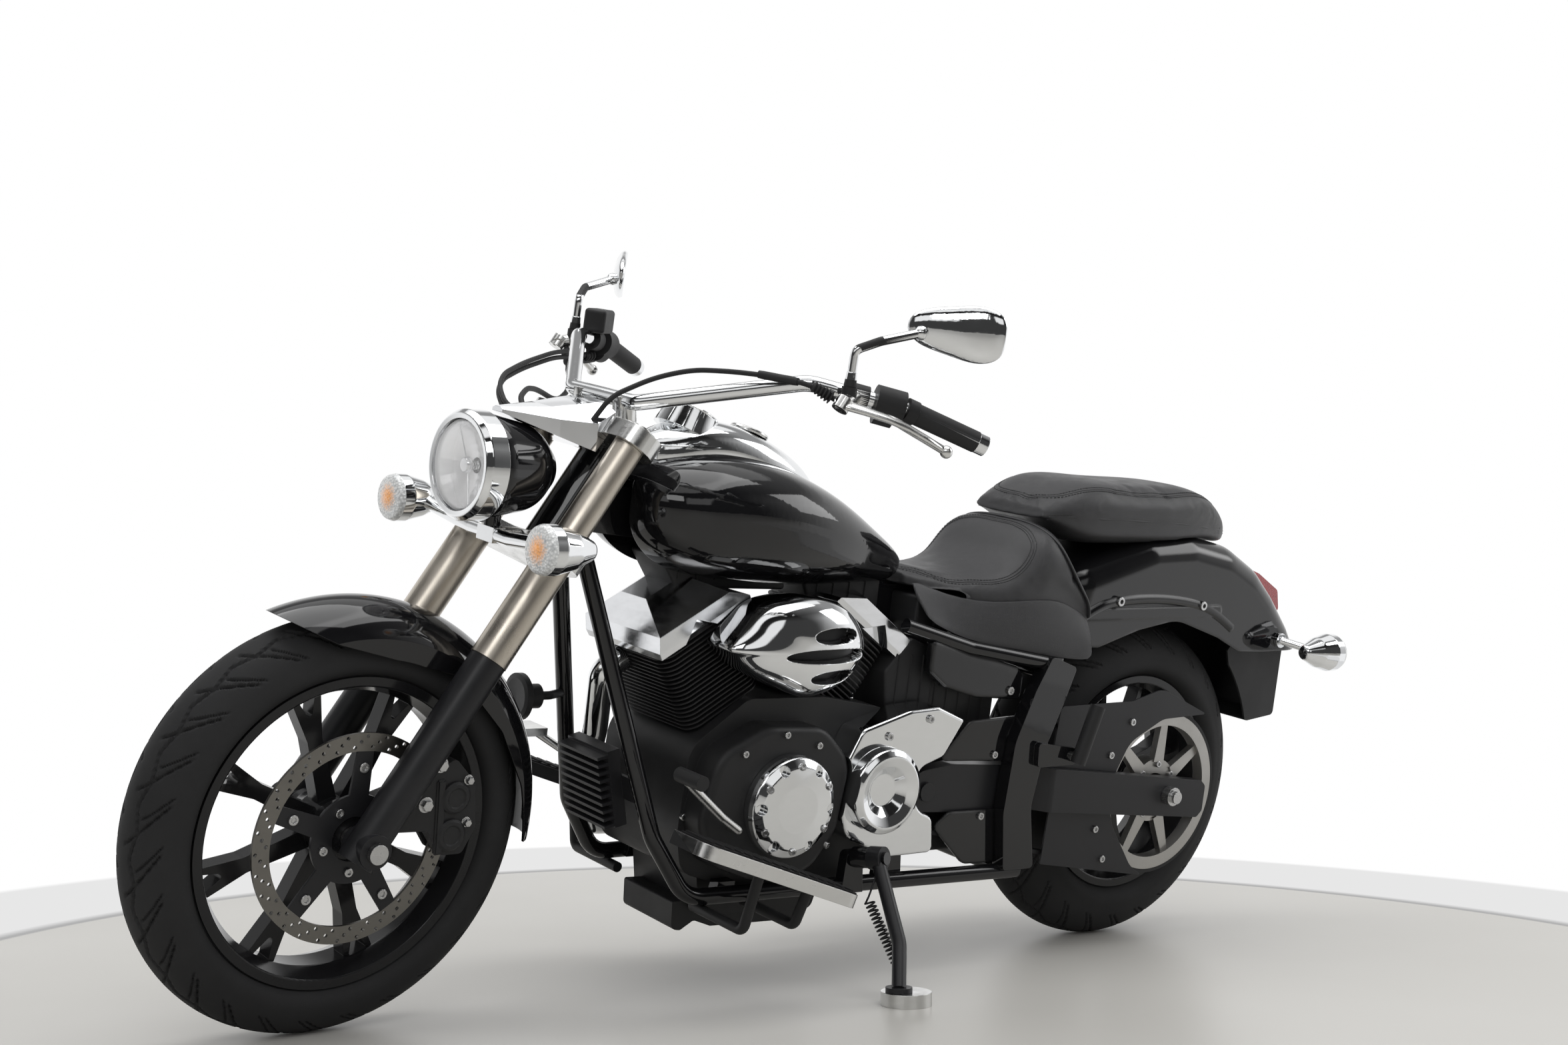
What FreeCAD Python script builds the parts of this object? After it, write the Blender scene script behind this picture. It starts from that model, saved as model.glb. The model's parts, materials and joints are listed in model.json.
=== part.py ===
import FreeCAD, Part
import math
import os

from FreeCAD import Placement, Rotation, Vector

os.makedirs("parts", exist_ok=True)
doc = FreeCAD.newDocument("cruiser_motorcycle")

# Driving dimensions in millimetres and degrees.
# X runs forward from the rear axle, Y to the left and Z up from the floor, on the upright machine.
SIZES = {
    "wheelbase": 1685,
    "rake_angle": 32,
    "trail_length": 145,
    "lean_angle": 10,
    "steer_angle": 4.7,
    "origin_forward": 782.8,
    "origin_left": 184.9,
    "front_tyre_radius": 319.5,
    "front_crown_radius": 62,
    "front_bead_radius": 229,
    "front_rim_half_width": 52,
    "rear_tyre_radius": 322,
    "rear_crown_radius": 82,
    "rear_bead_radius": 204,
    "rear_rim_half_width": 68,
    "tyre_wall": 9,
    "rim_wall": 6,
    "hub_radius": 46,
    "spoke_count": 8,
    "front_axle_radius": 10,
    "rear_axle_radius": 12,
    "running_gap": 0.05,
    "seat_gap": 0.3,
    "front_disc_radius": 160,
    "front_disc_offset": 72,
    "disc_thickness": 5,
    "rear_disc_radius": 149,
    "rear_disc_offset": -112,
    "pulley_radius": 155,
    "pulley_outer_face": 146,
    "belt_width": 24,
    "belt_thickness": 7,
    "fork_half_spacing": 111,
    "slider_radius": 29,
    "fork_cover_radius": 30,
    "fork_upper_radius": 25,
    "slider_length": 322,
    "fork_length": 752,
    "clamp_spread": 212,
    "head_tube_radius": 36,
    "down_tube_radius": 14,
    "seat_rail_radius": 13,
    "crank_forward": 950,
    "crank_height": 353,
    "front_cylinder_angle": 31,
    "rear_cylinder_angle": -33,
    "cylinder_base": 165,
    "front_cylinder_top": 318,
    "rear_cylinder_top": 336,
    "fin_count": 19,
    "fin_thickness": 2.6,
    "case_half_width": 118,
    "tank_half_width": 168,
    "handlebar_radius": 12.7,
    "grip_radius": 17,
    "cable_radius": 4,
    "hose_radius": 4.5,
    "headlight_radius": 84,
    "headlight_ahead": 273.5,
    "headlight_drop": 43.4,
    "signal_radius": 38,
    "silencer_radius": 50,
    "silencer_length": 705,
    "puck_radius": 41.6,
    "puck_height": 22,
    "puck_forward": 814,
    "puck_left": 378,
    "stand_tube_radius": 12,
    "stand_pivot_forward": 771,
    "stand_pivot_left": 214,
    "stand_pivot_height": 262,
    "stand_foot_forward": 830,
    "stand_pin_radius": 6,
}


class Size(float):
    """A length that also keeps the sheet formula it came from."""

    def __new__(cls, value, formula):
        size = super().__new__(cls, value)
        size.formula = formula
        return size

    def joined(self, other, sign, value):
        other_formula = getattr(other, "formula", repr(float(other)))
        return Size(value, f"({self.formula} {sign} {other_formula})")

    def __add__(self, other):
        return self.joined(other, "+", float(self) + float(other))

    def __sub__(self, other):
        return self.joined(other, "-", float(self) - float(other))

    def __mul__(self, other):
        return self.joined(other, "*", float(self) * float(other))

    def __truediv__(self, other):
        return self.joined(other, "/", float(self) / float(other))

    def __neg__(self):
        return Size(-float(self), f"(0 - {self.formula})")


sheet = doc.addObject("Spreadsheet::Sheet", "Sizes")
for row, (alias, number) in enumerate(SIZES.items(), start=1):
    sheet.set(f"A{row}", alias.replace("_", " "))
    sheet.set(f"B{row}", str(number))
    sheet.setAlias(f"B{row}", alias)
doc.recompute()


def size(alias):
    return Size(float(sheet.get(alias)), f"Sizes.{alias}")


wheelbase = size("wheelbase")
front_radius = size("front_tyre_radius")
rear_radius = size("rear_tyre_radius")
rake = math.radians(size("rake_angle"))
gap = size("seat_gap")

# Standing pose: the machine leans on its side stand with its steering a little to the left.
steer_up = Vector(-math.sin(rake), 0, math.cos(rake))
steer_foot = Vector(wheelbase + size("trail_length"), 0, 0)
front_hub = Vector(wheelbase, 0, front_radius)
rear_hub = Vector(0, 0, rear_radius)


def turn(base, axis, degrees):
    return Placement(Vector(0, 0, 0), Rotation(axis, degrees), base)


def tyre_low_point(pose, hub, radius, crown):
    """Height of the lowest point of a tyre with a round crown in the given pose."""
    axle = pose.Rotation.multVec(Vector(0, 1, 0))
    reach = (radius - crown) * math.sqrt(1 - axle.z**2) + crown
    return pose.multVec(hub).z - reach


steering_turn = turn(steer_foot, steer_up, size("steer_angle"))
lean = turn(Vector(0, 0, 0), Vector(1, 0, 0), -size("lean_angle"))
pitch = 0.0
for _ in range(4):
    standing = turn(Vector(0, 0, 0), Vector(0, 1, 0), pitch).multiply(lean)
    rear_low = tyre_low_point(standing, rear_hub, rear_radius, size("rear_crown_radius"))
    front_low = tyre_low_point(
        standing.multiply(steering_turn), front_hub, front_radius, size("front_crown_radius")
    )
    pitch += math.degrees((front_low - rear_low) / wheelbase)
axle_along = (front_hub - steer_foot).dot(steer_up)
fork_ahead = (front_hub - steer_foot).dot(Vector(math.cos(rake), 0, math.sin(rake)))
floor_origin = Vector(size("origin_forward"), size("origin_left"), 0)
standing = Placement(Vector(0, 0, -rear_low) - floor_origin, Rotation()).multiply(standing)
steered = standing.multiply(steering_turn)
on_floor = Placement(-floor_origin, Rotation())

sub_parts = []


# Helpers for sketches and bodies
def bind(thing, name, value):
    """Give a property its value, by formula where the value came from the sheet."""
    setattr(thing, name, type(getattr(thing, name, 0.0))(value) if name == "Occurrences" else float(value))
    if isinstance(value, Size):
        thing.setExpression(name, value.formula)


def keep(thing, label, pose):
    thing.Label = label
    thing.Placement = pose
    sub_parts.append(thing)
    return thing


def feature(label, shape, pose=None):
    """A sub-part whose shape is made directly."""
    thing = doc.addObject("Part::Feature", label)
    thing.Shape = shape
    return keep(thing, label, (pose or standing).multiply(shape.Placement))


def new_body(label, pose=None):
    return keep(doc.addObject("PartDesign::Body", label), label, pose or standing)


def origin_feature(body, role):
    return next(f for f in body.Origin.OriginFeatures if f.Role == role)


def new_sketch(body, role, edges, offset=0.0):
    sketch = body.newObject("Sketcher::SketchObject", "Sketch")
    sketch.AttachmentSupport = (origin_feature(body, role), [""])
    sketch.MapMode = "FlatFace"
    sketch.AttachmentOffset = Placement(Vector(0, 0, offset), Rotation())
    sketch.addGeometry(edges, False)
    return sketch


def rounded(points, closed=True):
    """Lines through the points, each corner rounded by the point's third number."""
    count = len(points)
    flat = [Vector(p[0], p[1], 0) for p in points]
    radii = [p[2] if len(p) > 2 else 0.0 for p in points]
    edges = []
    ends = []
    for i in range(count):
        here = flat[i]
        if not closed and i in (0, count - 1):
            ends.append((here, here, here))
            continue
        back = (flat[i - 1] - here).normalize()
        ahead = (flat[(i + 1) % count] - here).normalize()
        half = math.acos(max(-1.0, min(1.0, back.dot(ahead)))) / 2
        if radii[i] <= 0 or half > math.pi / 2 - 0.01:
            ends.append((here, here, here))
            continue
        cut = radii[i] / math.tan(half)
        middle = here + (back + ahead).normalize() * (radii[i] / math.sin(half) - radii[i])
        ends.append((here + back * cut, middle, here + ahead * cut))
    for i in range(count):
        start, middle, stop = ends[i]
        if (stop - start).Length > 1e-6:
            edges.append(Part.Arc(start, middle, stop))
        if closed or i < count - 1:
            following = ends[(i + 1) % count][0]
            if (following - stop).Length > 1e-6:
                edges.append(Part.LineSegment(stop, following))
    return edges


def circle(x, z, radius):
    return Part.Circle(Vector(x, z, 0), Vector(0, 0, 1), radius)


def side_face(edges, y):
    """A face in the plane of the wheels, from edges drawn as X and Z."""
    wire = Part.Wire(Part.__sortEdges__([e.toShape() for e in edges]))
    wire.Placement = Placement(Vector(0, y, 0), Rotation(Vector(1, 0, 0), 90))
    return Part.Face(wire)


def side_plate(points, y_from, y_to):
    """A plate cut to a side-view outline, standing between two widths."""
    face = side_face(rounded(points), y_from)
    return face.extrude(Vector(0, y_to - y_from, 0))


def grown_plate(points, extra, y_from, y_to):
    """The same plate with its outline grown by a clearance."""
    face = side_face(rounded(points), y_from).makeOffset2D(extra)
    return face.extrude(Vector(0, y_to - y_from, 0))


def plan_plate(points, z_from, z_to):
    """A plate cut to a plan-view outline, standing between two heights."""
    face = Part.Face(Part.Wire(Part.__sortEdges__([e.toShape() for e in rounded(points)])))
    face.translate(Vector(0, 0, z_from))
    return face.extrude(Vector(0, 0, z_to - z_from))


def mirrored(shape):
    return shape.mirror(Vector(0, 0, 0), Vector(0, 1, 0))


def rim_rounded(solid, y, radius):
    """The solid with the whole edge of its face at one width rounded."""
    chain = [e for e in solid.Edges if all(abs(v.Point.y - y) < 0.01 for v in e.Vertexes)]
    return solid.makeFillet(radius, chain)


def section(points):
    return Part.makePolygon([Vector(*p) for p in points + points[:1]])


def both_sides(shape):
    """The shape and its mirror image across the middle plane."""
    return Part.makeCompound([shape, mirrored(shape)])


def tube(points, radius, bend=40.0):
    """A round bar through the points, each corner an arc tangent to its two runs."""
    path = [Vector(*p[:3]) for p in points]
    bends = [p[3] if len(p) > 3 else bend for p in points]
    edges = []
    start = path[0]
    for i in range(1, len(path) - 1):
        here = path[i]
        back = (path[i - 1] - here).normalize()
        ahead = (path[i + 1] - here).normalize()
        half = math.acos(max(-1.0, min(1.0, back.dot(ahead)))) / 2
        cut = bends[i] / math.tan(half)
        into = here + back * cut
        out = here + ahead * cut
        middle = here + (back + ahead).normalize() * (bends[i] / math.sin(half) - bends[i])
        if (into - start).Length > 1e-6:
            edges.append(Part.LineSegment(start, into).toShape())
        edges.append(Part.Arc(into, middle, out).toShape())
        start = out
    edges.append(Part.LineSegment(start, path[-1]).toShape())
    wire = Part.Wire(edges)
    first = (path[1] - path[0]).normalize()
    ring = Part.Wire(Part.makeCircle(radius, path[0], first))
    return wire.makePipeShell([ring], True, False)


def rod(start, stop, radius, stop_radius=None):
    """A straight round bar, or a cone where its end has a radius of its own."""
    a = Vector(*start)
    b = Vector(*stop)
    run = b - a
    if stop_radius is None:
        return Part.makeCylinder(radius, run.Length, a, run)
    return Part.makeCone(radius, stop_radius, run.Length, a, run)


def lathe(profile, axis="y"):
    """A turned solid: profile points are radius and distance along the axis."""
    edges = rounded(profile)
    face = Part.Face(Part.Wire(Part.__sortEdges__([e.toShape() for e in edges])))
    solid = face.revolve(Vector(0, 0, 0), Vector(0, 1, 0), 360)
    if axis == "x":
        solid.rotate(Vector(0, 0, 0), Vector(0, 0, 1), -90)
    if axis == "z":
        solid.rotate(Vector(0, 0, 0), Vector(1, 0, 0), 90)
    return solid


def moved(shape, x, y, z):
    copy = shape.copy()
    copy.translate(Vector(x, y, z))
    return copy


def fused(shapes):
    return shapes[0].multiFuse(shapes[1:]).removeSplitter() if len(shapes) > 1 else shapes[0]


def steer_point(along, ahead, left):
    """A point by its distance up the steering axis, ahead of it and to its left."""
    forward = Vector(math.cos(rake), 0, math.sin(rake))
    return steer_foot + steer_up * along + forward * ahead + Vector(0, left, 0)


# Heights up the fork, and the crown that everything above it is placed from
upper_clamp_low = size("fork_length") - 40
upper_clamp_high = size("fork_length") - 10
cover_joint = upper_clamp_low - size("clamp_spread")
lower_clamp_high = cover_joint + 32
crown = steer_point(axle_along + size("fork_length") - 25, 0, 0)


def fork_point(up, ahead, left):
    return steer_point(axle_along + up, ahead, left)


def from_crown(x, y, z):
    return crown + Vector(x, y, z)


# Wheels
def tyre(label, hub, pose, radius, crown, bead, half_width, crown_degrees):
    """A hollow tyre: round crown, bulged walls and beads on the rim."""
    wall = size("tyre_wall")
    a = math.radians(crown_degrees)
    shoulder = (radius - crown + crown * math.cos(a), crown * math.sin(a))
    inner = (radius - crown + (crown - wall) * math.cos(a), (crown - wall) * math.sin(a))
    top = Vector(radius, 0, 0)
    top_in = Vector(radius - wall, 0, 0)
    side = (bead + shoulder[0]) / 2
    bulge = crown * math.sin(a) + 2
    lip = bead + 10
    outer = half_width - size("rim_wall")

    def wall_arc(side_sign, start_out):
        low = Vector(lip, side_sign * (outer if start_out else outer - wall), 0)
        high = shoulder if start_out else inner
        bulged = side_sign * (bulge - 1 if start_out else bulge - 1 - wall)
        return Part.Arc(low, Vector(side, bulged, 0), Vector(high[0], side_sign * high[1], 0))

    edges = [
        Part.Arc(Vector(shoulder[0], -shoulder[1], 0), top, Vector(shoulder[0], shoulder[1], 0)),
        Part.Arc(Vector(inner[0], inner[1], 0), top_in, Vector(inner[0], -inner[1], 0)),
    ]
    for s in (1, -1):
        edges += [
            wall_arc(s, True),
            Part.LineSegment(Vector(lip, s * outer, 0), Vector(bead, s * outer, 0)),
            Part.LineSegment(Vector(bead, s * outer, 0), Vector(bead, s * (outer - wall), 0)),
            Part.LineSegment(Vector(bead, s * (outer - wall), 0), Vector(lip, s * (outer - wall), 0)),
            wall_arc(s, False),
        ]
    body = new_body(label, pose.multiply(Placement(hub, Rotation())))
    profile = new_sketch(body, "XY_Plane", edges)
    ring = body.newObject("PartDesign::Revolution", "Ring")
    ring.Profile = profile
    ring.ReferenceAxis = (profile, ["V_Axis"])
    ring.Angle = 360
    return body


def cast_rim(label, hub, pose, bead, half_width, ends, bore, phase):
    """A cast rim with a barrel, forked spokes and a hub with a flange at each end."""
    wall = size("rim_wall")
    lip = bead + 9
    barrel = [
        (bead, -half_width + wall),
        (bead, half_width - wall),
        (lip, half_width - wall),
        (lip, half_width),
        (bead - wall, half_width, 3),
        (bead - wall - 12, half_width - 30, 8),
        (bead - wall - 12, -half_width + 30, 8),
        (bead - wall, -half_width, 3),
        (lip, -half_width),
        (lip, -half_width + wall),
    ]
    body = new_body(label, pose.multiply(Placement(hub, Rotation())))
    profile = new_sketch(body, "XY_Plane", rounded(barrel))
    ring = body.newObject("PartDesign::Revolution", "Barrel")
    ring.Profile = profile
    ring.ReferenceAxis = (profile, ["V_Axis"])
    ring.Angle = 360
    well = bead - wall - 12
    hub_edge = size("hub_radius")
    left_end, left_flange, right_end, right_flange = ends
    turned = [
        (bore, -right_end),
        (bore, left_end),
        (left_flange, left_end),
        (left_flange, left_end - 9),
        (hub_edge - 10, left_end - 14, 6),
        (hub_edge, 24, 6),
        (hub_edge, -24, 6),
        (hub_edge - 10, -right_end + 14, 6),
        (right_flange, -right_end + 9),
        (right_flange, -right_end),
    ]
    # Forked spoke, drawn along +X and turned to its phase
    fork_root = 165.0 - (229.0 - bead)
    stem = 12.0
    fork_half = 20.0
    leg = 9.0
    outline = [
        (hub_edge - 4, -stem - 3),
        (fork_root - 22, -stem, 20),
        (well + 3, -fork_half - leg / 2, 0),
        (well + 3, -fork_half + leg / 2, 0),
        (fork_root + 6, 0, 5),
        (well + 3, fork_half - leg / 2, 0),
        (well + 3, fork_half + leg / 2, 0),
        (fork_root - 22, stem, 20),
        (hub_edge - 4, stem + 3),
    ]
    a = math.radians(phase)
    spun = [
        (p[0] * math.cos(a) - p[1] * math.sin(a), p[0] * math.sin(a) + p[1] * math.cos(a), *p[2:])
        for p in outline
    ]
    spoke_sketch = new_sketch(body, "XZ_Plane", rounded(spun))
    spoke = body.newObject("PartDesign::Pad", "Spoke")
    spoke.Profile = spoke_sketch
    spoke.Length = 30
    spoke.Midplane = True
    spokes = body.newObject("PartDesign::PolarPattern", "Spokes")
    spokes.Originals = [spoke]
    spokes.Axis = (spoke_sketch, ["N_Axis"])
    spokes.Angle = 360
    bind(spokes, "Occurrences", size("spoke_count"))
    body.Tip = spokes
    hub_sketch = new_sketch(body, "XY_Plane", rounded(turned))
    centre = body.newObject("PartDesign::Revolution", "Hub")
    centre.Profile = hub_sketch
    centre.ReferenceAxis = (hub_sketch, ["V_Axis"])
    centre.Angle = 360
    body.Tip = centre
    return body


def pad(body, edges, role, offset, length, name):
    """A pad from a sketch; along Y its offset counts to the left."""
    sign = -1 if role == "XZ_Plane" else 1
    profile = new_sketch(body, role, edges, sign * offset)
    block = body.newObject("PartDesign::Pad", name)
    block.Profile = profile
    bind(block, "Length", length)
    block.Reversed = role == "XZ_Plane"
    body.Tip = block
    return block, profile


def brake_disc(label, hub, pose, offset, radius, bore, arms, phase):
    """A drilled brake ring on a carrier with arms."""
    thick = size("disc_thickness")
    ring_width = 27.0
    body = new_body(label, pose.multiply(Placement(hub, Rotation())))
    ring_edges = [circle(0, 0, radius), circle(0, 0, radius - ring_width)]
    pad(body, ring_edges, "XZ_Plane", offset - thick / 2, thick, "Ring")
    centre_edges = [circle(0, 0, bore + 34), circle(0, 0, bore)]
    pad(body, centre_edges, "XZ_Plane", offset - thick / 2, thick, "Centre")
    a = math.radians(phase)
    arm = [
        (bore + 28, -16),
        (radius - ring_width + 3, -13),
        (radius - ring_width + 3, 13),
        (bore + 28, 16),
    ]
    spun = [
        (p[0] * math.cos(a) - p[1] * math.sin(a), p[0] * math.sin(a) + p[1] * math.cos(a))
        for p in arm
    ]
    arm_pad, arm_sketch = pad(body, rounded(spun), "XZ_Plane", offset - thick / 2, thick, "Arm")
    pattern = body.newObject("PartDesign::PolarPattern", "Arms")
    pattern.Originals = [arm_pad]
    pattern.Axis = (arm_sketch, ["N_Axis"])
    pattern.Angle = 360
    pattern.Occurrences = arms
    body.Tip = pattern
    return body


front_bearing = size("front_axle_radius") + size("running_gap")
rear_bearing = size("rear_axle_radius") + size("running_gap")


def front_wheel():
    tyre(
        "front_tyre", front_hub, steered, front_radius, size("front_crown_radius"),
        size("front_bead_radius"), size("front_rim_half_width"), 75,
    )
    disc_face = size("front_disc_offset") - size("disc_thickness") / 2 - gap
    cast_rim(
        "front_rim", front_hub, steered, size("front_bead_radius"),
        size("front_rim_half_width"), (disc_face, 62, 68, 36), front_bearing, 26,
    )
    brake_disc(
        "front_disc", front_hub, steered, size("front_disc_offset"),
        size("front_disc_radius"), 34, 5, 20,
    )


pulley_centre_face = 100.5


def rear_wheel():
    tyre(
        "rear_tyre", rear_hub, standing, rear_radius, size("rear_crown_radius"),
        size("rear_bead_radius"), size("rear_rim_half_width"), 80,
    )
    disc_face = -size("rear_disc_offset") - size("disc_thickness") / 2 - gap
    cast_rim(
        "rear_rim", rear_hub, standing, size("rear_bead_radius"), size("rear_rim_half_width"),
        (pulley_centre_face - gap, 58, disc_face, 62), rear_bearing, 26,
    )
    brake_disc(
        "rear_disc", rear_hub, standing, size("rear_disc_offset"),
        size("rear_disc_radius"), 34, 5, 20,
    )


def rear_pulley():
    """The belt pulley: a toothless rim, seven dished spokes and a centre."""
    radius = size("pulley_radius")
    outer = size("pulley_outer_face")
    width = size("belt_width")
    body = new_body("rear_pulley", standing.multiply(Placement(rear_hub, Rotation())))
    ring = [circle(0, 0, radius), circle(0, 0, radius - 24)]
    pad(body, ring, "XZ_Plane", outer - width, width, "Ring")
    centre = [circle(0, 0, 62), circle(0, 0, size("rear_axle_radius") + 22)]
    pad(body, centre, "XZ_Plane", pulley_centre_face, 34.0, "Centre")
    spoke = [(56, -14), (radius - 20, -9), (radius - 20, 9), (56, 14)]
    a = math.radians(41)
    spun = [
        (p[0] * math.cos(a) - p[1] * math.sin(a), p[0] * math.sin(a) + p[1] * math.cos(a))
        for p in spoke
    ]
    arm, arm_sketch = pad(body, rounded(spun), "XZ_Plane", outer - width + 2, 14.0, "Spoke")
    pattern = body.newObject("PartDesign::PolarPattern", "Spokes")
    pattern.Originals = [arm]
    pattern.Axis = (arm_sketch, ["N_Axis"])
    pattern.Angle = 360
    pattern.Occurrences = 7
    body.Tip = pattern


# Frame and rear suspension
upright_outline = [
    (430, 204, 8), (354, 204, 8), (380, 320, 60), (363, 424, 60), (330, 509, 40), (306, 577, 8),
    (372, 598, 10), (405, 534, 40), (440, 441, 60), (448, 310, 60),
]
swingarm_outline = [
    (-96, 346, 14), (-110, 335, 10), (-110, 285, 10), (-96, 272, 10), (343, 306, 20), (560, 312, 30),
    (640, 316, 30), (655, 352, 30), (640, 388, 30), (560, 399, 30), (340, 388, 20),
]
upright_inner = 150
upright_outer = 178
stand_pivot = Vector(size("stand_pivot_forward"), size("stand_pivot_left"), size("stand_pivot_height"))
to_bike = standing.inverse().multiply(on_floor)


def stand_hinge():
    """The direction of the stand's pivot pin: it swings the leg from the floor to along the frame."""
    foot = to_bike.multVec(Vector(size("stand_foot_forward"), size("puck_left"), size("puck_height")))
    down = (foot - stand_pivot).normalize()
    folded = Vector(-0.985, 0.10, 0.14).normalize()
    between = (down - folded).normalize()
    left = Vector(0, 1, 0)
    return (left - between * left.dot(between)).normalize()


stand_axis = stand_hinge()


def cradle_tube(side, extra=0.0):
    """One down tube running on as a lower rail, to the foot of its upright."""
    top = fork_point(lower_clamp_high + 60, -10, side * 26)
    return tube(
        [tuple(top), (1180, side * 126, 300), (1110, side * 138, 198), (700, side * 150, 198),
         (380, side * 160, 198)],
        size("down_tube_radius") + extra, 60,
    )


def seat_rail(side, extra=0.0):
    return tube(
        [(695, side * 128, 645), (547, side * 140, 608), (350, side * 162, 580)],
        size("seat_rail_radius") + extra, 60,
    )


def frame():
    """Tubular cradle: head tube, backbone, down tubes with rails, seat rails and rear uprights."""
    head = rod(
        fork_point(lower_clamp_high + gap, 0, 0), fork_point(upper_clamp_low - gap, 0, 0),
        size("head_tube_radius"),
    )
    bore = rod(fork_point(cover_joint - 20, 0, 0), fork_point(upper_clamp_high + 20, 0, 0), 17.05)
    nose = fork_point((lower_clamp_high + upper_clamp_low) / 2, 0, 0)
    backbone = side_plate(
        [(nose.x, nose.z + 28), (1230, 848, 60), (708, 748, 40), (664, 700, 14), (545, 700, 6), (545, 615, 6),
         (650, 625, 20), (700, 690, 40), (1180, 765, 40), (nose.x + 16, nose.z - 46)],
        -22, 22,
    )
    seat_cross = rod((598, -133, 624), (598, 133, 624), 12)
    mount_front = side_plate([(1052, 190), (1010, 190), (1012, 220), (1046, 220)], 118 + gap, 140)
    mount_rear = side_plate([(700, 196), (650, 196), (656, 246, 8), (694, 246, 8)], 118 + gap, 146)
    rear_rise = side_plate(upright_outline, upright_inner, upright_outer)
    peg_arm = side_plate([(392, 442, 8), (388, 396, 8), (292, 398, 10), (286, 428, 10)], upright_outer, 190)
    sides = []
    for s in (1, -1):
        parts = [mount_front, mount_rear, rear_rise, peg_arm]
        if s < 0:
            parts = [mirrored(p) for p in parts]
        sides += parts + [cradle_tube(s), seat_rail(s)]
    tank_mounts = [rod((x, -50 + gap, z), (x, 50 - gap, z), 12) for x, z in ((1188, 812), (745, 730))]
    cross = rod((350, -155, 560), (350, 155, 560), 12)
    cross_low = rod((400, -155, 198), (400, 155, 198), size("down_tube_radius"))
    stand_plate = side_plate([(758, 190), (806, 190), (802, 262, 10), (768, 262, 10)], 152, 172)
    stand_boss = rod(stand_pivot - stand_axis * 46, stand_pivot - stand_axis * (13 + gap), 18)
    stand_pin = rod(stand_pivot - stand_axis * 30, stand_pivot + stand_axis * 17, size("stand_pin_radius"))
    stand_bolt = rod(stand_pivot + stand_axis * (13 + gap), stand_pivot + stand_axis * 19, 11)
    shape = fused([head, backbone, seat_cross, cross, cross_low, stand_plate, stand_boss, stand_pin,
                   stand_bolt, *tank_mounts, *sides])
    feature("frame", shape.cut(bore))


def swingarm():
    """Arms outside the tyre that step inward and run forward to the pivot on the engine."""
    inner = size("case_half_width") + gap
    side_view = side_plate(swingarm_outline, 100, 180)
    plan = plan_plate(
        [(-120, 150), (308, 150, 20), (344, inner, 20), (700, inner), (700, 146), (360, 146, 20),
         (324, 172, 20),
         (-120, 172)],
        200, 420,
    )
    left = side_view.common(plan)
    cross = Part.makeBox(46, 2 * inner + 8, 62, Vector(350, -inner - 4, 320))
    bolt = rod((615, 146, 352), (615, 152, 352), 17)
    bore = rod((0, -300, rear_radius), (0, 300, rear_radius), size("rear_axle_radius") + 0.02)
    feature("swingarm", fused([left, mirrored(left), cross, bolt, mirrored(bolt)]).cut(bore))


def rear_axle():
    radius = size("rear_axle_radius")

    def ring(y_from, y_to, r):
        return rod((0, y_from, rear_radius), (0, y_to, rear_radius), r)

    shape = fused([
        ring(-184, 199, radius), ring(172 + gap, 190, 18), ring(-184, -172 - gap, 17),
        ring(pulley_centre_face + 34 + gap, 150 - gap, 18), ring(-150 + gap, -109.8 - 5, 20),
    ])
    feature("rear_axle", shape)


def front_axle():
    radius = size("front_axle_radius")
    spacing = size("fork_half_spacing")

    def ring(y_from, y_to, r):
        return rod((wheelbase, y_from, front_radius), (wheelbase, y_to, front_radius), r)

    shape = fused([
        ring(-spacing - 36, spacing + 36, radius), ring(spacing + 30 + gap, spacing + 40, 15),
        ring(-spacing - 40, -spacing - 30 - gap, 15),
        ring(size("front_disc_offset") - 2, spacing - size("slider_radius") - gap, 18),
        ring(-spacing + size("slider_radius") + gap, -68 - gap, 18),
    ])
    feature("front_axle", shape, steered)


# Engine
crank = Vector(size("crank_forward"), 0, size("crank_height"))


core_outline = [
    (1125, 300, 60), (1110, 235, 40), (1020, 205, 40), (830, 190, 40), (700, 215, 40), (590, 300, 60),
    (600, 420, 60), (720, 500, 60), (850, 520, 40), (1010, 520, 40), (1120, 440, 60),
]
left_cover_outline = [
    (1120, 330, 50), (1095, 260, 60), (1000, 226, 60), (880, 232, 60), (830, 300, 60), (815, 420, 60),
    (880, 480, 60), (1000, 485, 60), (1095, 440, 60),
]
sprocket_outline = [
    (803, 474, 20), (700, 505, 40), (634, 510, 16), (569, 486, 5), (610, 421, 20), (670, 400, 30),
    (662, 330, 40), (619, 314, 20), (608, 250, 12), (709, 248, 20), (812, 288, 40), (850, 380, 60),
]
front_pulley = Vector(752, 0, 371)
front_pulley_radius = 58.0


def engine_cases():
    half = size("case_half_width")
    core = side_plate(core_outline, -half, half)
    left_cover = rim_rounded(side_plate(left_cover_outline, half - 4, 172), 172, 13)
    right_cover = rim_rounded(
        side_plate(
            [(1090, 350, 60), (1060, 250, 70), (900, 225, 70), (780, 260, 70), (760, 400, 70),
             (850, 480, 70), (1010, 480, 70)],
            -176, -half + 4,
        ),
        -176, 16,
    )
    sump = side_plate([(1060, 230), (1045, 150, 15), (805, 142, 15), (780, 230)], -95, 95)
    boss = rod((front_pulley.x, half - 4, front_pulley.z), (front_pulley.x, 146, front_pulley.z),
        front_pulley_radius - gap)
    feature("engine_cases", fused([core, left_cover, right_cover, sump, boss]))


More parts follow.
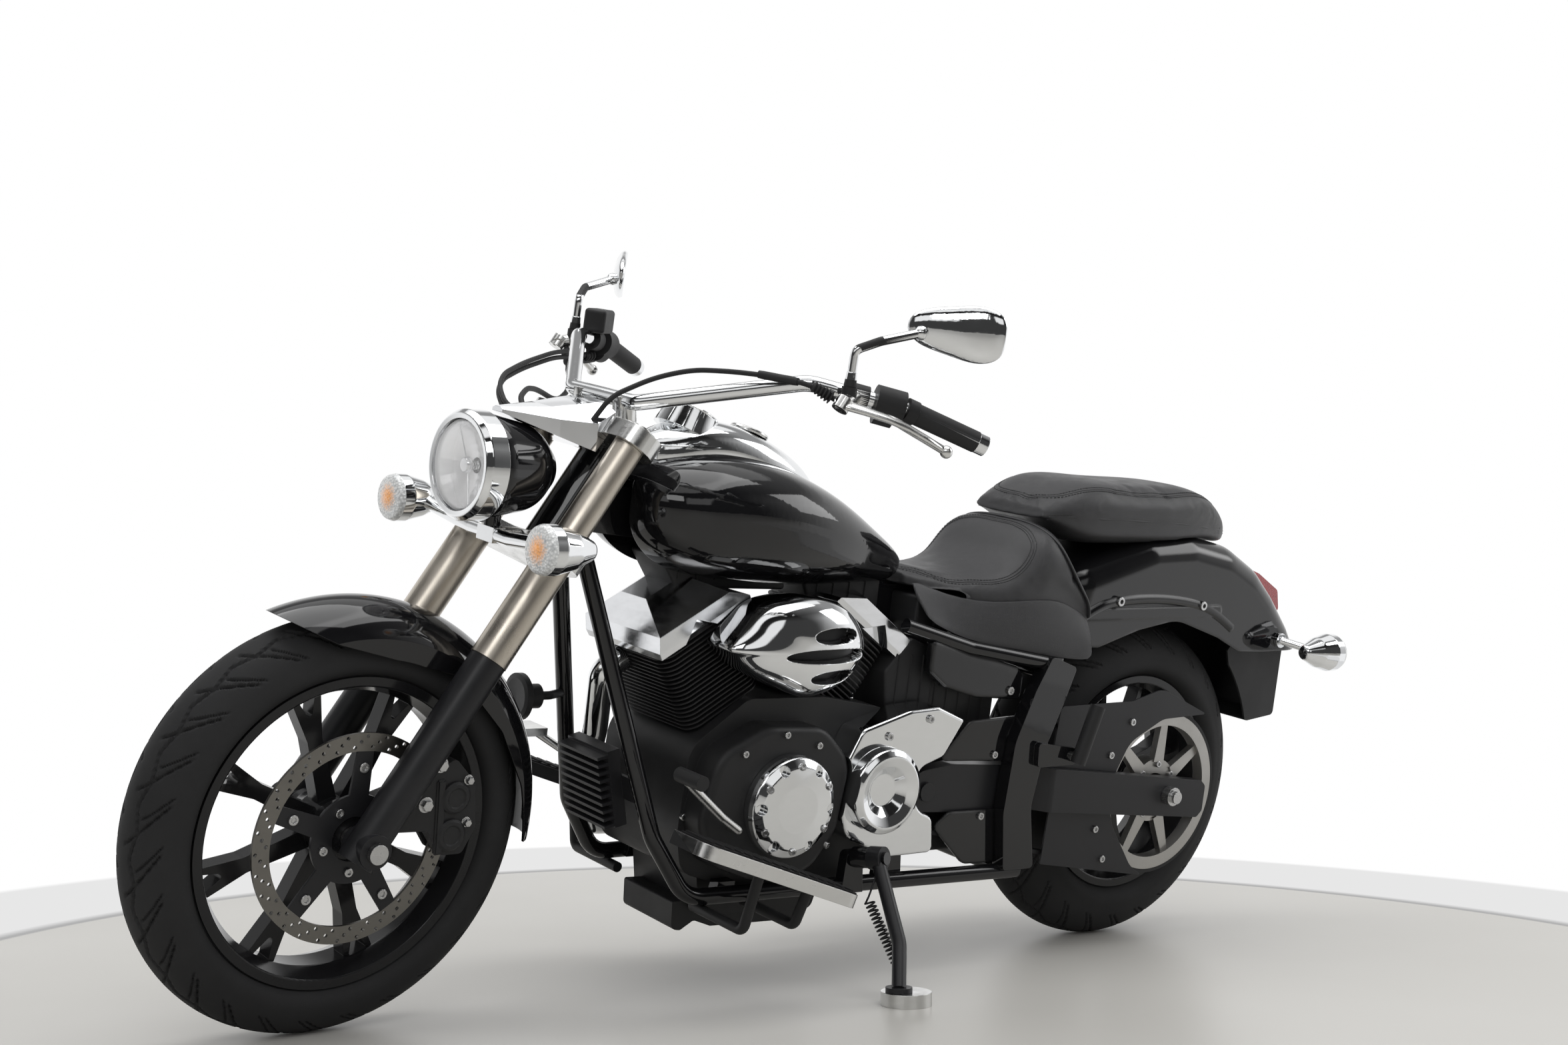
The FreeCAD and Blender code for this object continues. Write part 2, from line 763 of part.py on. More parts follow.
def skid_plate():
    """The guard below the sump, with its lip turned up in front."""
    plate = side_plate(
        [(1084, 170, 4), (1080, 122, 12), (1062, 119, 8), (1036, 134, 10), (1000, 121, 10), (808, 117, 8),
         (792, 134, 6), (800, 160)],
        -72, 72,
    )
    sump = side_plate([(1060, 230), (1045, 150, 15), (805, 142, 15), (780, 230)], -95, 95)
    feature("skid_plate", plate.cut([sump, moved(sump, 0, 0, -gap)]))


def crank_covers():
    """Bright round covers on both ends of the crankshaft, with six bolt notches."""
    profile = [(0, 0), (0, 34), (40, 34, 8), (70, 31, 8), (84, 22, 6), (87, 12, 4), (87, 0)]
    disc = lathe(profile)
    for i in range(6):
        a = math.radians(60 * i + 2)
        disc = disc.cut(rod((72 * math.cos(a), 22, 72 * math.sin(a)),
            (72 * math.cos(a), 40, 72 * math.sin(a)), 9))
    left = moved(disc, crank.x, 172 + gap, crank.z)
    right = moved(mirrored(disc), crank.x - 25, -176 - gap, crank.z)
    feature("crank_covers", Part.makeCompound([left, right]))


def cylinder_set():
    return (
        (size("front_cylinder_angle"), size("front_cylinder_top")),
        (size("rear_cylinder_angle"), size("rear_cylinder_top")),
    )


def on_cylinder(shape, angle):
    shape.rotate(Vector(0, 0, 0), Vector(0, 1, 0), angle)
    shape.translate(crank)
    return shape


def cylinders():
    """Two barrels with fine fins on the crankcase."""
    made = []
    base = size("cylinder_base")
    thick = size("fin_thickness")
    for angle, top in cylinder_set():
        count = int(size("fin_count"))
        step = (top - base - thick) / count
        fins = [Part.makeCylinder(66, top - base, Vector(0, 0, base))]
        for i in range(1, count + 1):
            low = base + i * step
            fins.append(plan_plate([(-78, -98, 26), (78, -98, 26), (78, 98, 26), (-78, 98, 26)], low,
                low + thick))
        made.append(on_cylinder(fused(fins), angle))
    cases = side_plate(core_outline, -130, 130)
    feature("cylinders", Part.makeCompound([barrel.cut(cases) for barrel in made]))


def cylinder_head_covers():
    """Bright faceted covers over both heads, a dark valley pressed into each side."""
    forms = (
        [(0, -108, 84, 108), (12, -108, 84, 110), (37, -74, 74, 110), (72, -46, 34, 36)],
        [(0, -100, 86, 108), (10, -100, 84, 110), (40, -97, 36, 110), (62, -48, 12, 36)],
    )
    made = []
    for (angle, top), form in zip(cylinder_set(), forms):
        low = top + gap
        wires = [
            section([(a, -half, low + up), (b, -half, low + up), (b, half, low + up), (a, half, low + up)])
            for up, a, b, half in form
        ]
        block = Part.makeLoft(wires, True, True)
        middle = (form[2][1] + form[2][2]) / 2
        for s in (1, -1):
            valley = section([(middle - 50, s * 130, low - 8), (middle + 50, s * 130, low - 8),
                (middle, s * 130, low + 36)])
            floor = section([(middle - 38, s * 92, low - 8), (middle + 38, s * 92, low - 8),
                (middle, s * 92, low + 22)])
            block = block.cut(Part.makeLoft([valley, floor], True, True))
        made.append(on_cylinder(block, angle))
    feature("head_covers", Part.makeCompound(made))


def belt_loop(extra):
    """The closed line of the belt round both pulleys, grown outward."""
    r1 = float(size("pulley_radius")) + 0.5 + extra
    r2 = front_pulley_radius + extra
    rise = front_pulley.z - rear_radius
    d = math.hypot(front_pulley.x, rise)
    base = math.atan2(rise, front_pulley.x)
    spread = math.acos((r1 - r2) / d)
    ends = []
    for sign in (1, -1):
        a = base + sign * spread
        ends.append(Vector(r1 * math.cos(a), rear_radius + r1 * math.sin(a), 0))
        ends.append(Vector(front_pulley.x + r2 * math.cos(a), front_pulley.z + r2 * math.sin(a), 0))
    far = Vector(r1 * math.cos(base + math.pi), rear_radius + r1 * math.sin(base + math.pi), 0)
    near = Vector(front_pulley.x + r2 * math.cos(base), front_pulley.z + r2 * math.sin(base), 0)
    return [
        Part.LineSegment(ends[0], ends[1]),
        Part.Arc(ends[1], near, ends[3]),
        Part.LineSegment(ends[3], ends[2]),
        Part.Arc(ends[2], far, ends[0]),
    ]


def drive_belt():
    """The belt as one closed loop round both pulleys."""
    width = size("belt_width") - 2
    body = new_body("drive_belt")
    edges = belt_loop(float(size("belt_thickness"))) + belt_loop(0.0)
    pad(body, edges, "XZ_Plane", size("pulley_outer_face") - 1 - width, width, "Belt")


def sprocket_cover():
    """A hollow cover over the front pulley with a dished ring on its face."""
    inner = size("case_half_width") + gap
    plate = rim_rounded(side_plate(sprocket_outline, inner, 176), 176, 6)
    dish = lathe([(0, -4), (0, 8), (28, 8, 4), (44, 22, 8), (62, 30, 6), (74, 22, 6), (74, -4)])
    dish = moved(dish, front_pulley.x, 176, front_pulley.z)
    hollow = side_face(belt_loop(float(size("belt_thickness")) + 6), 110).extrude(Vector(0, 42, 0))
    shape = fused([plate, dish]).cut(hollow)
    feature("sprocket_cover", shape.cut(grown_plate(left_cover_outline, gap, 100, 210)))


def air_cleaner():
    """A domed oval cover between the cylinders, three slots in its face and a stub to the intake."""
    base = [(1106, 615, 16), (1040, 668, 40), (964, 697, 40), (870, 668, 40), (833, 613, 20),
            (868, 562, 40), (949, 530, 40), (1050, 566, 60)]

    def ring(scale, y):
        shrunk = [(954 + (x - 954) * scale, 616 + (z - 616) * scale, r * scale) for x, z, r in base]
        wire = Part.Wire(Part.__sortEdges__([e.toShape() for e in rounded(shrunk)]))
        wire.Placement = Placement(Vector(0, y, 0), Rotation(Vector(1, 0, 0), 90))
        return wire

    body = Part.makeLoft([ring(0.97, 110 + gap), ring(1.0, 135), ring(1.0, 176), ring(0.9, 204),
        ring(0.8, 212)], True, True)
    slots = []
    for ends, bow in (((870, 958, 640), 8), ((832, 1016, 604), 11), ((874, 956, 567), 6)):
        a = Vector(ends[0], ends[2], 0)
        b = Vector(ends[1], ends[2] + 4, 0)
        mid = (a + b) / 2
        lens = [Part.Arc(a, mid + Vector(0, bow, 0), b), Part.Arc(b, mid - Vector(0, bow, 0), a)]
        slots.append(side_face(lens, 200).extrude(Vector(0, 30, 0)))
    for slot in slots:
        body = body.cut(slot)
    stub = rod((945, -40, 608), (945, 118, 608), 40)
    feet = [rod((x, 98 + gap, z), (x, 116, z), 11) for x, z in ((1050, 615), (850, 600))]
    feature("air_cleaner", fused([body, stub, *feet]))


def regulator():
    core = Part.makeBox(22, 120, 130, Vector(1200, -60, 300))
    fins = [core]
    for i in range(10):
        fins.append(Part.makeBox(22, 120, 5, Vector(1220, -60, 303 + i * 13)))
    strap = Part.makeBox(6, 210, 40, Vector(1196, -105, 345))
    shape = fused([*fins, strap])
    shape.rotate(Vector(1210, 0, 365), Vector(0, 1, 0), 14)
    for s in (1, -1):
        shape = shape.cut(cradle_tube(s, gap))
    feature("regulator", shape)


def horn():
    disc = lathe([(0, 0), (0, 14), (30, 16, 4), (38, 14), (38, 4), (32, 0)], "x")
    motor = rod((2, 0, 0), (-26, 0, 0), 20)
    shape = moved(fused([disc, motor]), 1330, -60, 492)
    arm = tube([(1308, -60, 492), (1280, -62, 492), (1240, -84, 492)], 7, 10)
    feature("horn", fused([shape, arm]).cut(cradle_tube(-1, gap)))


silencer_inlet = Vector(575, -246, 244)


def exhaust():
    start = silencer_inlet + Vector(gap, 0, 0)
    front = tube(
        [(1166, -30, 561), (1202, -34, 540), (1172, -80, 430), (1140, -150, 300), (1080, -188, 235),
         (900, -206, 224), (700, -218, 226), (632, -246, 241), tuple(start)],
        21, 22,
    )
    rear = tube(
        [(727, -44, 554), (697, -60, 535), (690, -160, 500), (684, -202, 420), (664, -226, 300),
         (655, -234, 236)],
        18, 20,
    )
    pipes = fused([front, rear])
    for angle, top in cylinder_set():
        block = Part.makeBox(156 + 2 * gap, 196 + 2 * gap, 400, Vector(-78 - gap, -98 - gap, 0))
        pipes = pipes.cut(on_cylinder(block, angle))
    feature("exhaust_pipes", pipes)
    r = size("silencer_radius")
    long = size("silencer_length")
    muffler = lathe([(0, 0), (34, 0, 2), (r, 110, 60), (r, long - 22, 10), (r - 6, long, 4),
        (r - 12, long), (r - 12, long - 30), (0, long - 30)])
    muffler.rotate(Vector(0, 0, 0), Vector(0, 0, 1), 90)
    muffler.rotate(Vector(0, 0, 0), Vector(0, 1, 0), 3)
    muffler = moved(muffler, *silencer_inlet)
    hanger = Part.makeBox(40, 30, 30, Vector(384, -208.3, 240))
    feature("silencer", fused([muffler, hanger]))


# Bodywork
def oval(x, z_low, z_high, half, power=2.6, points=16):
    """A closed rounded section across the machine at one station."""
    middle = (z_low + z_high) / 2
    tall = (z_high - z_low) / 2
    ring = []
    for i in range(points):
        a = 2 * math.pi * i / points
        c = math.cos(a)
        s = math.sin(a)
        y = half * math.copysign(abs(c) ** (2 / power), c)
        z = middle + tall * math.copysign(abs(s) ** (2 / power), s)
        ring.append(Vector(x, y, z))
    curve = Part.BSplineCurve()
    curve.interpolate(Points=ring, PeriodicFlag=True)
    return Part.Wire(curve.toShape())


def tank_outer():
    half = size("tank_half_width")
    stations = [
        (1240, 804, 858, half * 0.50),
        (1228, 770, 877, half * 0.68),
        (1180, 730, 901, half * 0.90),
        (1080, 708, 915, half),
        (960, 700, 902, half * 0.97),
        (840, 700, 862, half * 0.80),
        (720, 704, 800, half * 0.52),
        (658, 722, 762, half * 0.30),
    ]
    return Part.makeLoft([oval(*s) for s in stations], True, False)


def clamp_room():
    """The room behind the head that the upper clamp sweeps as the fork turns."""
    clamp = clamp_plate(upper_clamp_low - 6, upper_clamp_high + 60, 6.5)
    turned = []
    for angle in (-35, -23, -11, 11, 23, 35):
        copy = clamp.copy()
        copy.rotate(steer_foot, steer_up, angle)
        turned.append(copy)
    return fused(turned)


def fuel_tank():
    tunnel = side_plate(
        [(1300, 862), (1230, 862, 60), (700, 760, 60), (600, 700), (600, 600), (1300, 600)], -50, 50
    )
    feature("fuel_tank", tank_outer().cut(tunnel).cut(clamp_room()))


def tank_console():
    """The bright spine on top of the tank, carrying the dial and the caps."""
    stations = [
        (1192, 862, 936, 40), (1164, 852, 948, 54), (1094, 860, 963, 62), (1000, 850, 952, 62),
        (905, 836, 912, 50), (848, 836, 866, 26),
    ]
    spine = Part.makeLoft([oval(*s) for s in stations], True, False)
    dial = rod((1120, 0, 940), (1106, 0, 974), 52, 46)
    feature("tank_console", moved(fused([spine, dial]).cut(tank_outer()), 0, 0, gap))


def rider_seat_form():
    stations = [
        (652, 703, 738, 55), (610, 675, 733, 88), (560, 655, 729, 118), (500, 645, 734, 138),
        (430, 637, 770, 150), (370, 630, 828, 150), (325, 622, 806, 146), (285, 616, 764, 142),
        (246, 622, 700, 139),
    ]
    seat = Part.makeLoft([oval(*s, 3.2) for s in stations], True, False)
    under = side_plate(
        [(180, 560), (180, 790), (300, 790), (335, 758, 10), (425, 700 + gap, 20), (720, 700 + gap),
         (720, 560)],
        -118 - gap, 118 + gap,
    )
    return seat.cut(under)


def fender_outer():
    outline = [
        (300, 606), (262, 750, 60), (60, 813, 90), (-60, 821, 90), (-182, 801, 120), (-271, 759, 120),
        (-331, 710, 90), (-394, 646, 60), (-432, 596), (-300, 592, 20), (-222, 593, 40), (-152, 621, 60),
        (-22, 656, 120), (85, 636, 120), (193, 602, 20),
    ]
    return crowned(outline, 118, 50, (300, 606))


def seats():
    rider = rider_seat_form()
    feature("rider_seat", rider)
    stations = [
        (364, 834, 858, 92), (318, 816, 884, 112), (268, 796, 905, 124), (160, 790, 911, 130),
        (0, 794, 912, 124), (-81, 800, 906, 112), (-150, 800, 878, 92), (-198, 806, 840, 62),
    ]
    pillion = Part.makeLoft([oval(*s, 3.2) for s in stations], True, False)
    pillion = pillion.cut(moved(fender_outer(), 0, 0, gap)).cut(moved(rider, -gap, 0, gap))
    feature("pillion_seat", max(pillion.Solids, key=lambda s: s.Volume))


def crowned(outline, half, crown, ridge_start):
    """A solid with the side-view outline and both edges of its ridge well rounded."""
    solid = side_plate(outline, -half, half)
    start = Vector(ridge_start[0], 0, ridge_start[1])
    chain = [
        e for e in solid.Edges
        if any(abs(v.Point.x - start.x) + abs(v.Point.z - start.z) < 0.1 for v in e.Vertexes)
        and abs(e.Vertexes[0].Point.y - e.Vertexes[-1].Point.y) < 0.1
        and max(v.Point.z for v in e.Vertexes) > start.z + 1
    ]
    return solid.makeFillet(crown, chain)


def rear_fender():
    """A deep arched shell over the rear wheel, a raised rib on each side."""
    wall = 4.0
    inner = [
        (296, 560), (258, 746, 56), (60, 809, 86), (-60, 817, 86), (-180, 797, 116), (-268, 755, 116),
        (-328, 706, 86), (-390, 643, 56), (-424, 596), (-440, 540), (-222, 400), (296, 400),
    ]
    void = crowned(inner, 118 - wall, 46, (296, 560))
    parts = [fender_outer().cut(void)]
    for s in (1, -1):
        rib = side_plate([(240, 654, 10), (240, 676, 10), (-150, 686, 10), (-150, 664, 10)], 116, 121)
        lug = side_plate([(252, 612), (252, 650), (296, 650), (342, 604, 10), (342, 568, 14),
            (310, 568, 10), (296, 606)], 114, 118)
        boss = rod((326, 114, 586), (326, upright_inner - gap, 586), 11)
        for piece in (rib, lug, boss):
            parts.append(piece if s > 0 else mirrored(piece))
    feature("rear_fender", fused(parts))


def mud_flap():
    """The flap behind the rear wheel, held between the fender's inner walls."""
    flap = side_plate(
        [(-228, 588), (-262, 632, 6), (-372, 632, 6), (-402, 604, 6), (-402, 452, 10), (-316, 440, 20),
         (-268, 473, 40)],
        -86, 86,
    )
    lugs = Part.makeBox(40, 2 * (114 - gap), 20, Vector(-345, -114 + gap, 606))
    hollow = side_plate(
        [(-180, 588), (-240, 660), (-340, 660), (-396, 600, 4), (-396, 456, 8), (-316, 446, 18),
         (-240, 400)], -82, 82
    )
    guard = rod((0, -130, rear_radius), (0, 130, rear_radius), rear_radius + 14)
    bridge = Part.makeBox(10, 2 * (114 - gap), 20, Vector(-345, -114 + gap, 606))
    feature("mud_flap", fused([fused([flap, lugs]).cut(hollow), bridge]).cut(guard))


def tail_lamp():
    lamp = side_plate(
        [(-300, 690), (-320, 749, 6), (-345, 742, 12), (-413, 708, 14), (-424, 668, 8), (-402, 646, 4),
         (-370, 640)],
        -46, 46,
    )
    feature("tail_lamp", lamp.cut(moved(fender_outer(), -0.21, 0, 0.21)))


def signal_body(facing):
    """A bullet-shaped lamp body with its domed lens at the origin, turned along X."""
    r = size("signal_radius")
    profile = [(0, -92), (14, -88, 10), (r - 8, -50, 40), (r, -18, 10), (r, 0, 1), (r - 3, 9, 6), (0, 14)]
    shape = lathe(profile, "x")
    if facing < 0:
        shape.rotate(Vector(0, 0, 0), Vector(0, 0, 1), 180)
    return shape


def rear_signals():
    lamp = moved(signal_body(-1), -425, 190, 604)
    base = rod((-345, 118 + gap, 616), (-345, 126, 616), 15)
    stem = rod((-345, 124, 616), (-378, 172, 607), 8)
    feature("rear_signals", both_sides(fused([lamp, base, stem])))


def front_signals():
    """Two lamps on one cross stay in front of the fork."""
    lamp = moved(signal_body(1), *from_crown(251.5, 208, -131.4))
    stay = tube(
        [tuple(from_crown(202, y, z)) for y, z in ((-185, -133), (-52, -147), (52, -147), (185, -133))],
        11, 30
    )
    block = Part.makeBox(22, 44, 24, from_crown(191, -22, -159))
    feature("front_signals", fused([lamp, mirrored(lamp), stay, block]), steered)


def side_covers():
    """Cover plates below the seat rails and, on the left, outside the belt."""
    upper = rim_rounded(
        side_plate(
            [(640, 622, 6), (547, 602, 30), (425, 574, 12), (408, 556, 8), (408, 512, 10), (520, 518, 30),
             (600, 538, 30), (640, 566, 10)],
            128, 146,
        ),
        146, 5,
    )
    upper = upper.cut(seat_rail(1, gap))
    above = side_plate([(405, 486, 4), (538, 478, 20), (602, 408, 8), (405, 402, 4)], 150.5, 154.5)
    below = side_plate([(405, 314, 4), (560, 314, 20), (596, 290, 12), (512, 216, 30), (405, 214, 4)],
        150.5, 154.5)
    left = [upper, above, below]
    shapes = left + [mirrored(upper)]
    around = grown_plate(sprocket_outline, gap, 110, 180)
    upright = grown_plate(upright_outline, gap, 140, 190)
    trimmed = [p.cut(around).cut(upright) for p in shapes]
    feature("side_covers", Part.makeCompound([max(p.Solids,
        key=lambda s: s.CenterOfMass.x) for p in trimmed]))


def belt_guards():
    """Guards over and under the belt, resting along the swingarm's left arm."""
    low = 151.5
    upper = side_plate(
        [(318, 380, 4), (308, 499, 10), (116, 505, 60), (33, 528, 60), (-106, 475, 2), (21, 468, 60),
         (107, 425, 60), (140, 362, 6)],
        low, low + 3,
    )
    lower = side_plate(
        [(305, 308, 4), (140, 296, 6), (125, 262, 40), (60, 180, 60), (21, 158, 2), (311, 201, 6)],
        low, low + 3,
    )
    grown = grown_plate(swingarm_outline, gap, 140, 190)
    feature("belt_guards", Part.makeCompound([p.cut(grown).Solids[0] for p in (upper, lower)]))


def footrests():
    """Rider's boards on arms from the lower rails, and folded pegs for the passenger."""
    board = plan_plate([(-172, 0, 4), (172, 0, 4), (172, 96, 30), (-172, 96, 30)], -11, 11)
    board.rotate(Vector(0, 0, 0), Vector(0, 1, 0), -18.5)
    board.translate(Vector(1062, 236, 282))
    top = 198 - size("down_tube_radius") - gap
    parts = [board]
    for x, rise in ((1072, 278), (968, 244)):
        parts.append(tube([(x, 112, top - 9), (x, 250, top - 9), (x, 276, rise)], 9, 16))
    boards = fused(parts)
    peg = fused([rod((300, 190 + gap, 414), (300, 214, 414), 9), rod((302, 206, 404), (272, 210, 512), 14)])
    feature("footrests", Part.makeCompound([boards, peg, mirrored(boards), mirrored(peg)]))


def foot_controls():
    lever = tube([(1062, 172 + gap, 322), (1062, 200, 322), (1112, 214, 352), (1215, 232, 430)], 7, 12)
    toe = rod((1215, 228, 430), (1215, 290, 430), 12)
    pedal = tube([(1056, -176 - gap, 330), (1056, -202, 330), (1116, -216, 344), (1196, -228, 392)], 7, 12)
    pad_block = Part.makeBox(50, 60, 14, Vector(1180, -272, 386))
    feature("foot_controls", Part.makeCompound([fused([lever, toe]), fused([pedal, pad_block])]))


def rear_caliper():
    block = side_plate([(60, 380, 12), (130, 400, 12), (150, 480, 12), (60, 470, 12)], -136, -96)
    slot = rod((0, -118.5, rear_radius), (0, -105.5, rear_radius), size("rear_disc_radius") + 5)
    bracket = side_plate([(40, 318, 6), (110, 324, 6), (122, 412, 6), (56, 406, 6)], -150 + gap, -133)
    feature("rear_caliper", fused([block.cut(slot), bracket]))


def stand_puck():
    """The round pad under the side stand's foot, flat on the floor."""
    puck = doc.addObject("Part::Cylinder", "stand_puck")
    bind(puck, "Radius", size("puck_radius"))
    bind(puck, "Height", size("puck_height"))
    keep(puck, "stand_puck", on_floor.multiply(Placement(Vector(size("puck_forward"), size("puck_left"),
        0), Rotation())))


# Fork and steering
def leg(up_from, up_to, radius, side, radius_to=None):
    spacing = size("fork_half_spacing") * side
    a = front_hub + steer_up * up_from + Vector(0, spacing, 0)
    b = front_hub + steer_up * up_to + Vector(0, spacing, 0)
    return rod(a, b, radius, radius_to)


def fork():
    sliders = []
    covers = []
    spacing = size("fork_half_spacing")
    for side in (1, -1):
        slider = leg(-28, size("slider_length") - gap, size("slider_radius"), side)
        foot = rod(
            (wheelbase, side * (spacing - 24), front_radius),
            (wheelbase, side * (spacing + 30), front_radius), 26
        )
        bore = rod(
            (wheelbase, side * 40, front_radius), (wheelbase, side * 200, front_radius),
            size("front_axle_radius") + 0.02,
        )
        sliders.append(fused([slider, foot]).cut(bore))
        lower = leg(size("slider_length"), cover_joint, size("fork_cover_radius"), side)
        upper = leg(cover_joint, upper_clamp_low - gap, size("fork_upper_radius"), side)
        covers.append(fused([lower, upper]))
    feature("fork_sliders", Part.makeCompound(sliders), steered)
    feature("fork_covers", Part.makeCompound(covers), steered)


def clamp_plate(up_low, up_high, extra=0.0):
    """A fork clamp: a waisted plate square to the steering axis."""
    half = float(size("fork_half_spacing"))
    ahead = fork_ahead
    corner = [
        (-32, -26, 12), (ahead - 34, -half - 34, 32), (ahead + 34, -half - 34, 32),
        (ahead + 34, -half + 30, 30),
        (ahead - 4, 0, 90), (ahead + 34, half - 30, 30), (ahead + 34, half + 34, 32),
        (ahead - 34, half + 34, 32),
        (-32, 26, 12),
    ]
    face = Part.Face(Part.Wire(Part.__sortEdges__([e.toShape() for e in rounded(corner)])))
    if extra:
        face = face.makeOffset2D(extra)
    block = face.extrude(Vector(0, 0, up_high - up_low))
    block.rotate(Vector(0, 0, 0), Vector(0, 1, 0), -math.degrees(rake))
    block.translate(fork_point(up_low, 0, 0))
    return block


def fork_clamps():
    low = clamp_plate(cover_joint + gap, lower_clamp_high)
    high = clamp_plate(upper_clamp_low, upper_clamp_high)
    stem = rod(fork_point(cover_joint + 4, 0, 0), fork_point(upper_clamp_high - 2, 0, 0), 17)
    for s in (1, -1):
        low = low.cut(leg(cover_joint - 30, lower_clamp_high + 30, size("fork_upper_radius") + 0.02, s))
    caps = [leg(upper_clamp_high - 2, upper_clamp_high + 6, 20, s) for s in (1, -1)]
    risers = [rod(fork_point(upper_clamp_high - 6, 20, s * 52), from_crown(22, s * 52, 86),
        19) for s in (1, -1)]
    bar_hole = rod(from_crown(23.5, -90, 78.6), from_crown(23.5, 90, 78.6), size("handlebar_radius") + 0.02)
    arm = tube([tuple(from_crown(x, 0, z)) for x, z in ((134, -160), (152, -147), (191 - gap, -147))], 10, 12)
    feature("fork_clamps", fused([low, high, stem, arm, *caps, *risers]).cut(bar_hole), steered)


bar_half = [
    (23.5, 84, 78.6, 28), (-132.5, 298, 151.6, 55), (-260.5, 384, 131.6, 150), (-371.5, 440, 94.6),
]


def bar_tube(radius):
    left = [(*from_crown(*p[:3]), *p[3:]) for p in bar_half]
    right = [(p[0], -p[1], *p[2:]) for p in reversed(left)]
    return tube(right + left, radius)


def handlebar():
    feature("handlebar", bar_tube(size("handlebar_radius")), steered)


grip_end = from_crown(*bar_half[3][:3])
grip_root = from_crown(*bar_half[2][:3])
bar_knee = from_crown(*bar_half[1][:3])
grip_way = (grip_root - grip_end).normalize()
inner_way = (bar_knee - grip_root).normalize()


def grip_line(along):
    """A point on the hand grip's centre line, measured in from the bar end."""
    return grip_end + grip_way * along


def inner_line(along):
    """A point on the bar's next straight run, measured in from the grip's root."""
    return grip_root + inner_way * along


def grips():
    cap = rod(grip_line(-14), grip_line(3), 16.4)
    sleeve = rod(grip_line(3), grip_line(112), size("grip_radius"))
    bore = rod(grip_line(0), grip_line(140), size("handlebar_radius") + 0.02)
    feature("grips", both_sides(fused([cap, sleeve]).cut(bore)), steered)


def bar_controls():
    """Switch boxes, lever perches and levers; the right side also carries the brake fluid box."""
    collar = rod(grip_line(112 + gap), grip_line(130), 19)
    box = rod(inner_line(4), inner_line(50), 26)
    lobe = rod(inner_line(16) + Vector(4, 0, -16), inner_line(46) + Vector(4, 0, -16), 18)
    perch = rod(inner_line(62), inner_line(92), 19)
    pivot = inner_line(78) + Vector(54, 27, -12)
    arm = rod(inner_line(77) + Vector(8, 4, 0), pivot, 11)
    hub = rod(pivot - steer_up * 10, pivot + steer_up * 10, 13)
    tip = pivot + Vector(-147, 87, -51)
    lever = tube([tuple(pivot), tuple(pivot + Vector(-69, 44, -14)), tuple(tip)], 6.5, 60)
    ball = Part.makeSphere(10, tip)
    post = rod(pivot + Vector(-22, -13, 0), pivot + Vector(-22, -13, 26), 12)
    made = fused([collar, box, lobe, perch, arm, hub, lever, ball, post])
    tank = Part.makeBox(56, 40, 42, Vector(-28, -20, 0))
    tank = tank.makeFillet(7, tank.Edges)
    tank.rotate(Vector(0, 0, 0), Vector(0, 0, 1), -34)
    tank = moved(tank, *(inner_line(92) + Vector(-6, -10, 12)))
    right = fused([mirrored(made), mirrored(tank)])
    bore = bar_tube(size("handlebar_radius") + 0.02)
    feature("bar_controls", Part.makeCompound([made.cut(bore), right.cut(bore)]), steered)


def mirrors():
    """Egg-shaped heads with a flat glass, on cranked stems."""
    sections = []
    for t, tall, deep in ((-75, 6, 3), (-66, 19, 8), (-36, 32, 13), (4, 40, 15), (42, 43, 14),
        (66, 34, 10), (76, 10, 4)):
        ellipse = Part.Ellipse(Vector(0, 0, 0), tall, deep)
        wire = Part.Wire(ellipse.toShape())
        wire.Placement = Placement(Vector(t, 0, 0), Rotation(Vector(0, 1, 0), 90))
        sections.append(wire)
    head = Part.makeLoft(sections, True, False)
    head = head.common(Part.makeBox(200, 60, 120, Vector(-100, -54, -60)))
    head.rotate(Vector(0, 0, 0), Vector(0, 0, 1), 128)
    middle = from_crown(-303.5, 424, 260)
    head = moved(head, *middle)
    foot = inner_line(78) + Vector(54, 27, -12) + Vector(-22, -13, 26)
    path = [foot + Vector(0, 0, gap), foot + Vector(0, 0, 56), middle + Vector(112, -46, -30),
        middle + Vector(44, -32, -10)]
    stem = tube([tuple(p) for p in path], 7, 14)
    boot = rod(path[0], path[0] + (path[1] - path[0]).normalize() * 22, 10, 8)
    ball = Part.makeSphere(11, path[-1])
    feature("mirrors", both_sides(fused([head, stem, boot, ball])), steered)


def cord(name, points, radius):
    """A held cable: straight runs joined by the largest arcs that they allow."""
    path = [Vector(*p) for p in points]
    bent = [tuple(path[0])]
    bends = []
    for before, here, after in zip(path, path[1:], path[2:]):
        shorter = min((here - before).Length, (after - here).Length)
        bends.append(0.45 * shorter / math.tan((here - before).getAngle(after - here) / 2))
        bent.append((*here, bends[-1]))
    bent.append(tuple(path[-1]))
    length = sum((b - a).Length for a, b in zip(path, path[1:]))
    print(name, "runs add up to", round(length), "mm, arcs of", [round(b) for b in bends], "mm")
    return tube(bent, radius)


clutch_route = [
    (1124, 356, 1046), (1152, 332, 1062), (1177, 288, 1066), (1198, 204, 1062), (1217, 128, 1053),
    (1262, 92, 1032), (1324, 72, 996), (1345, 62, 956),
]
throttle_route = [
    (1040, -360, 1026), (1078, -340, 1022), (1130, -318, 1030), (1186, -281, 1029), (1284, -227, 1011),
    (1359, -171, 995), (1392, -132, 978), (1410, -83, 957), (1404, -46, 946),
]
brake_route = [
    (1106, -360, 1038), (1110, -340, 998), (1148, -276, 968), (1216, -215, 951), (1290, -172, 974),
    (1352, -112, 980), (1390, -74, 968), (1402, -36, 950),
]


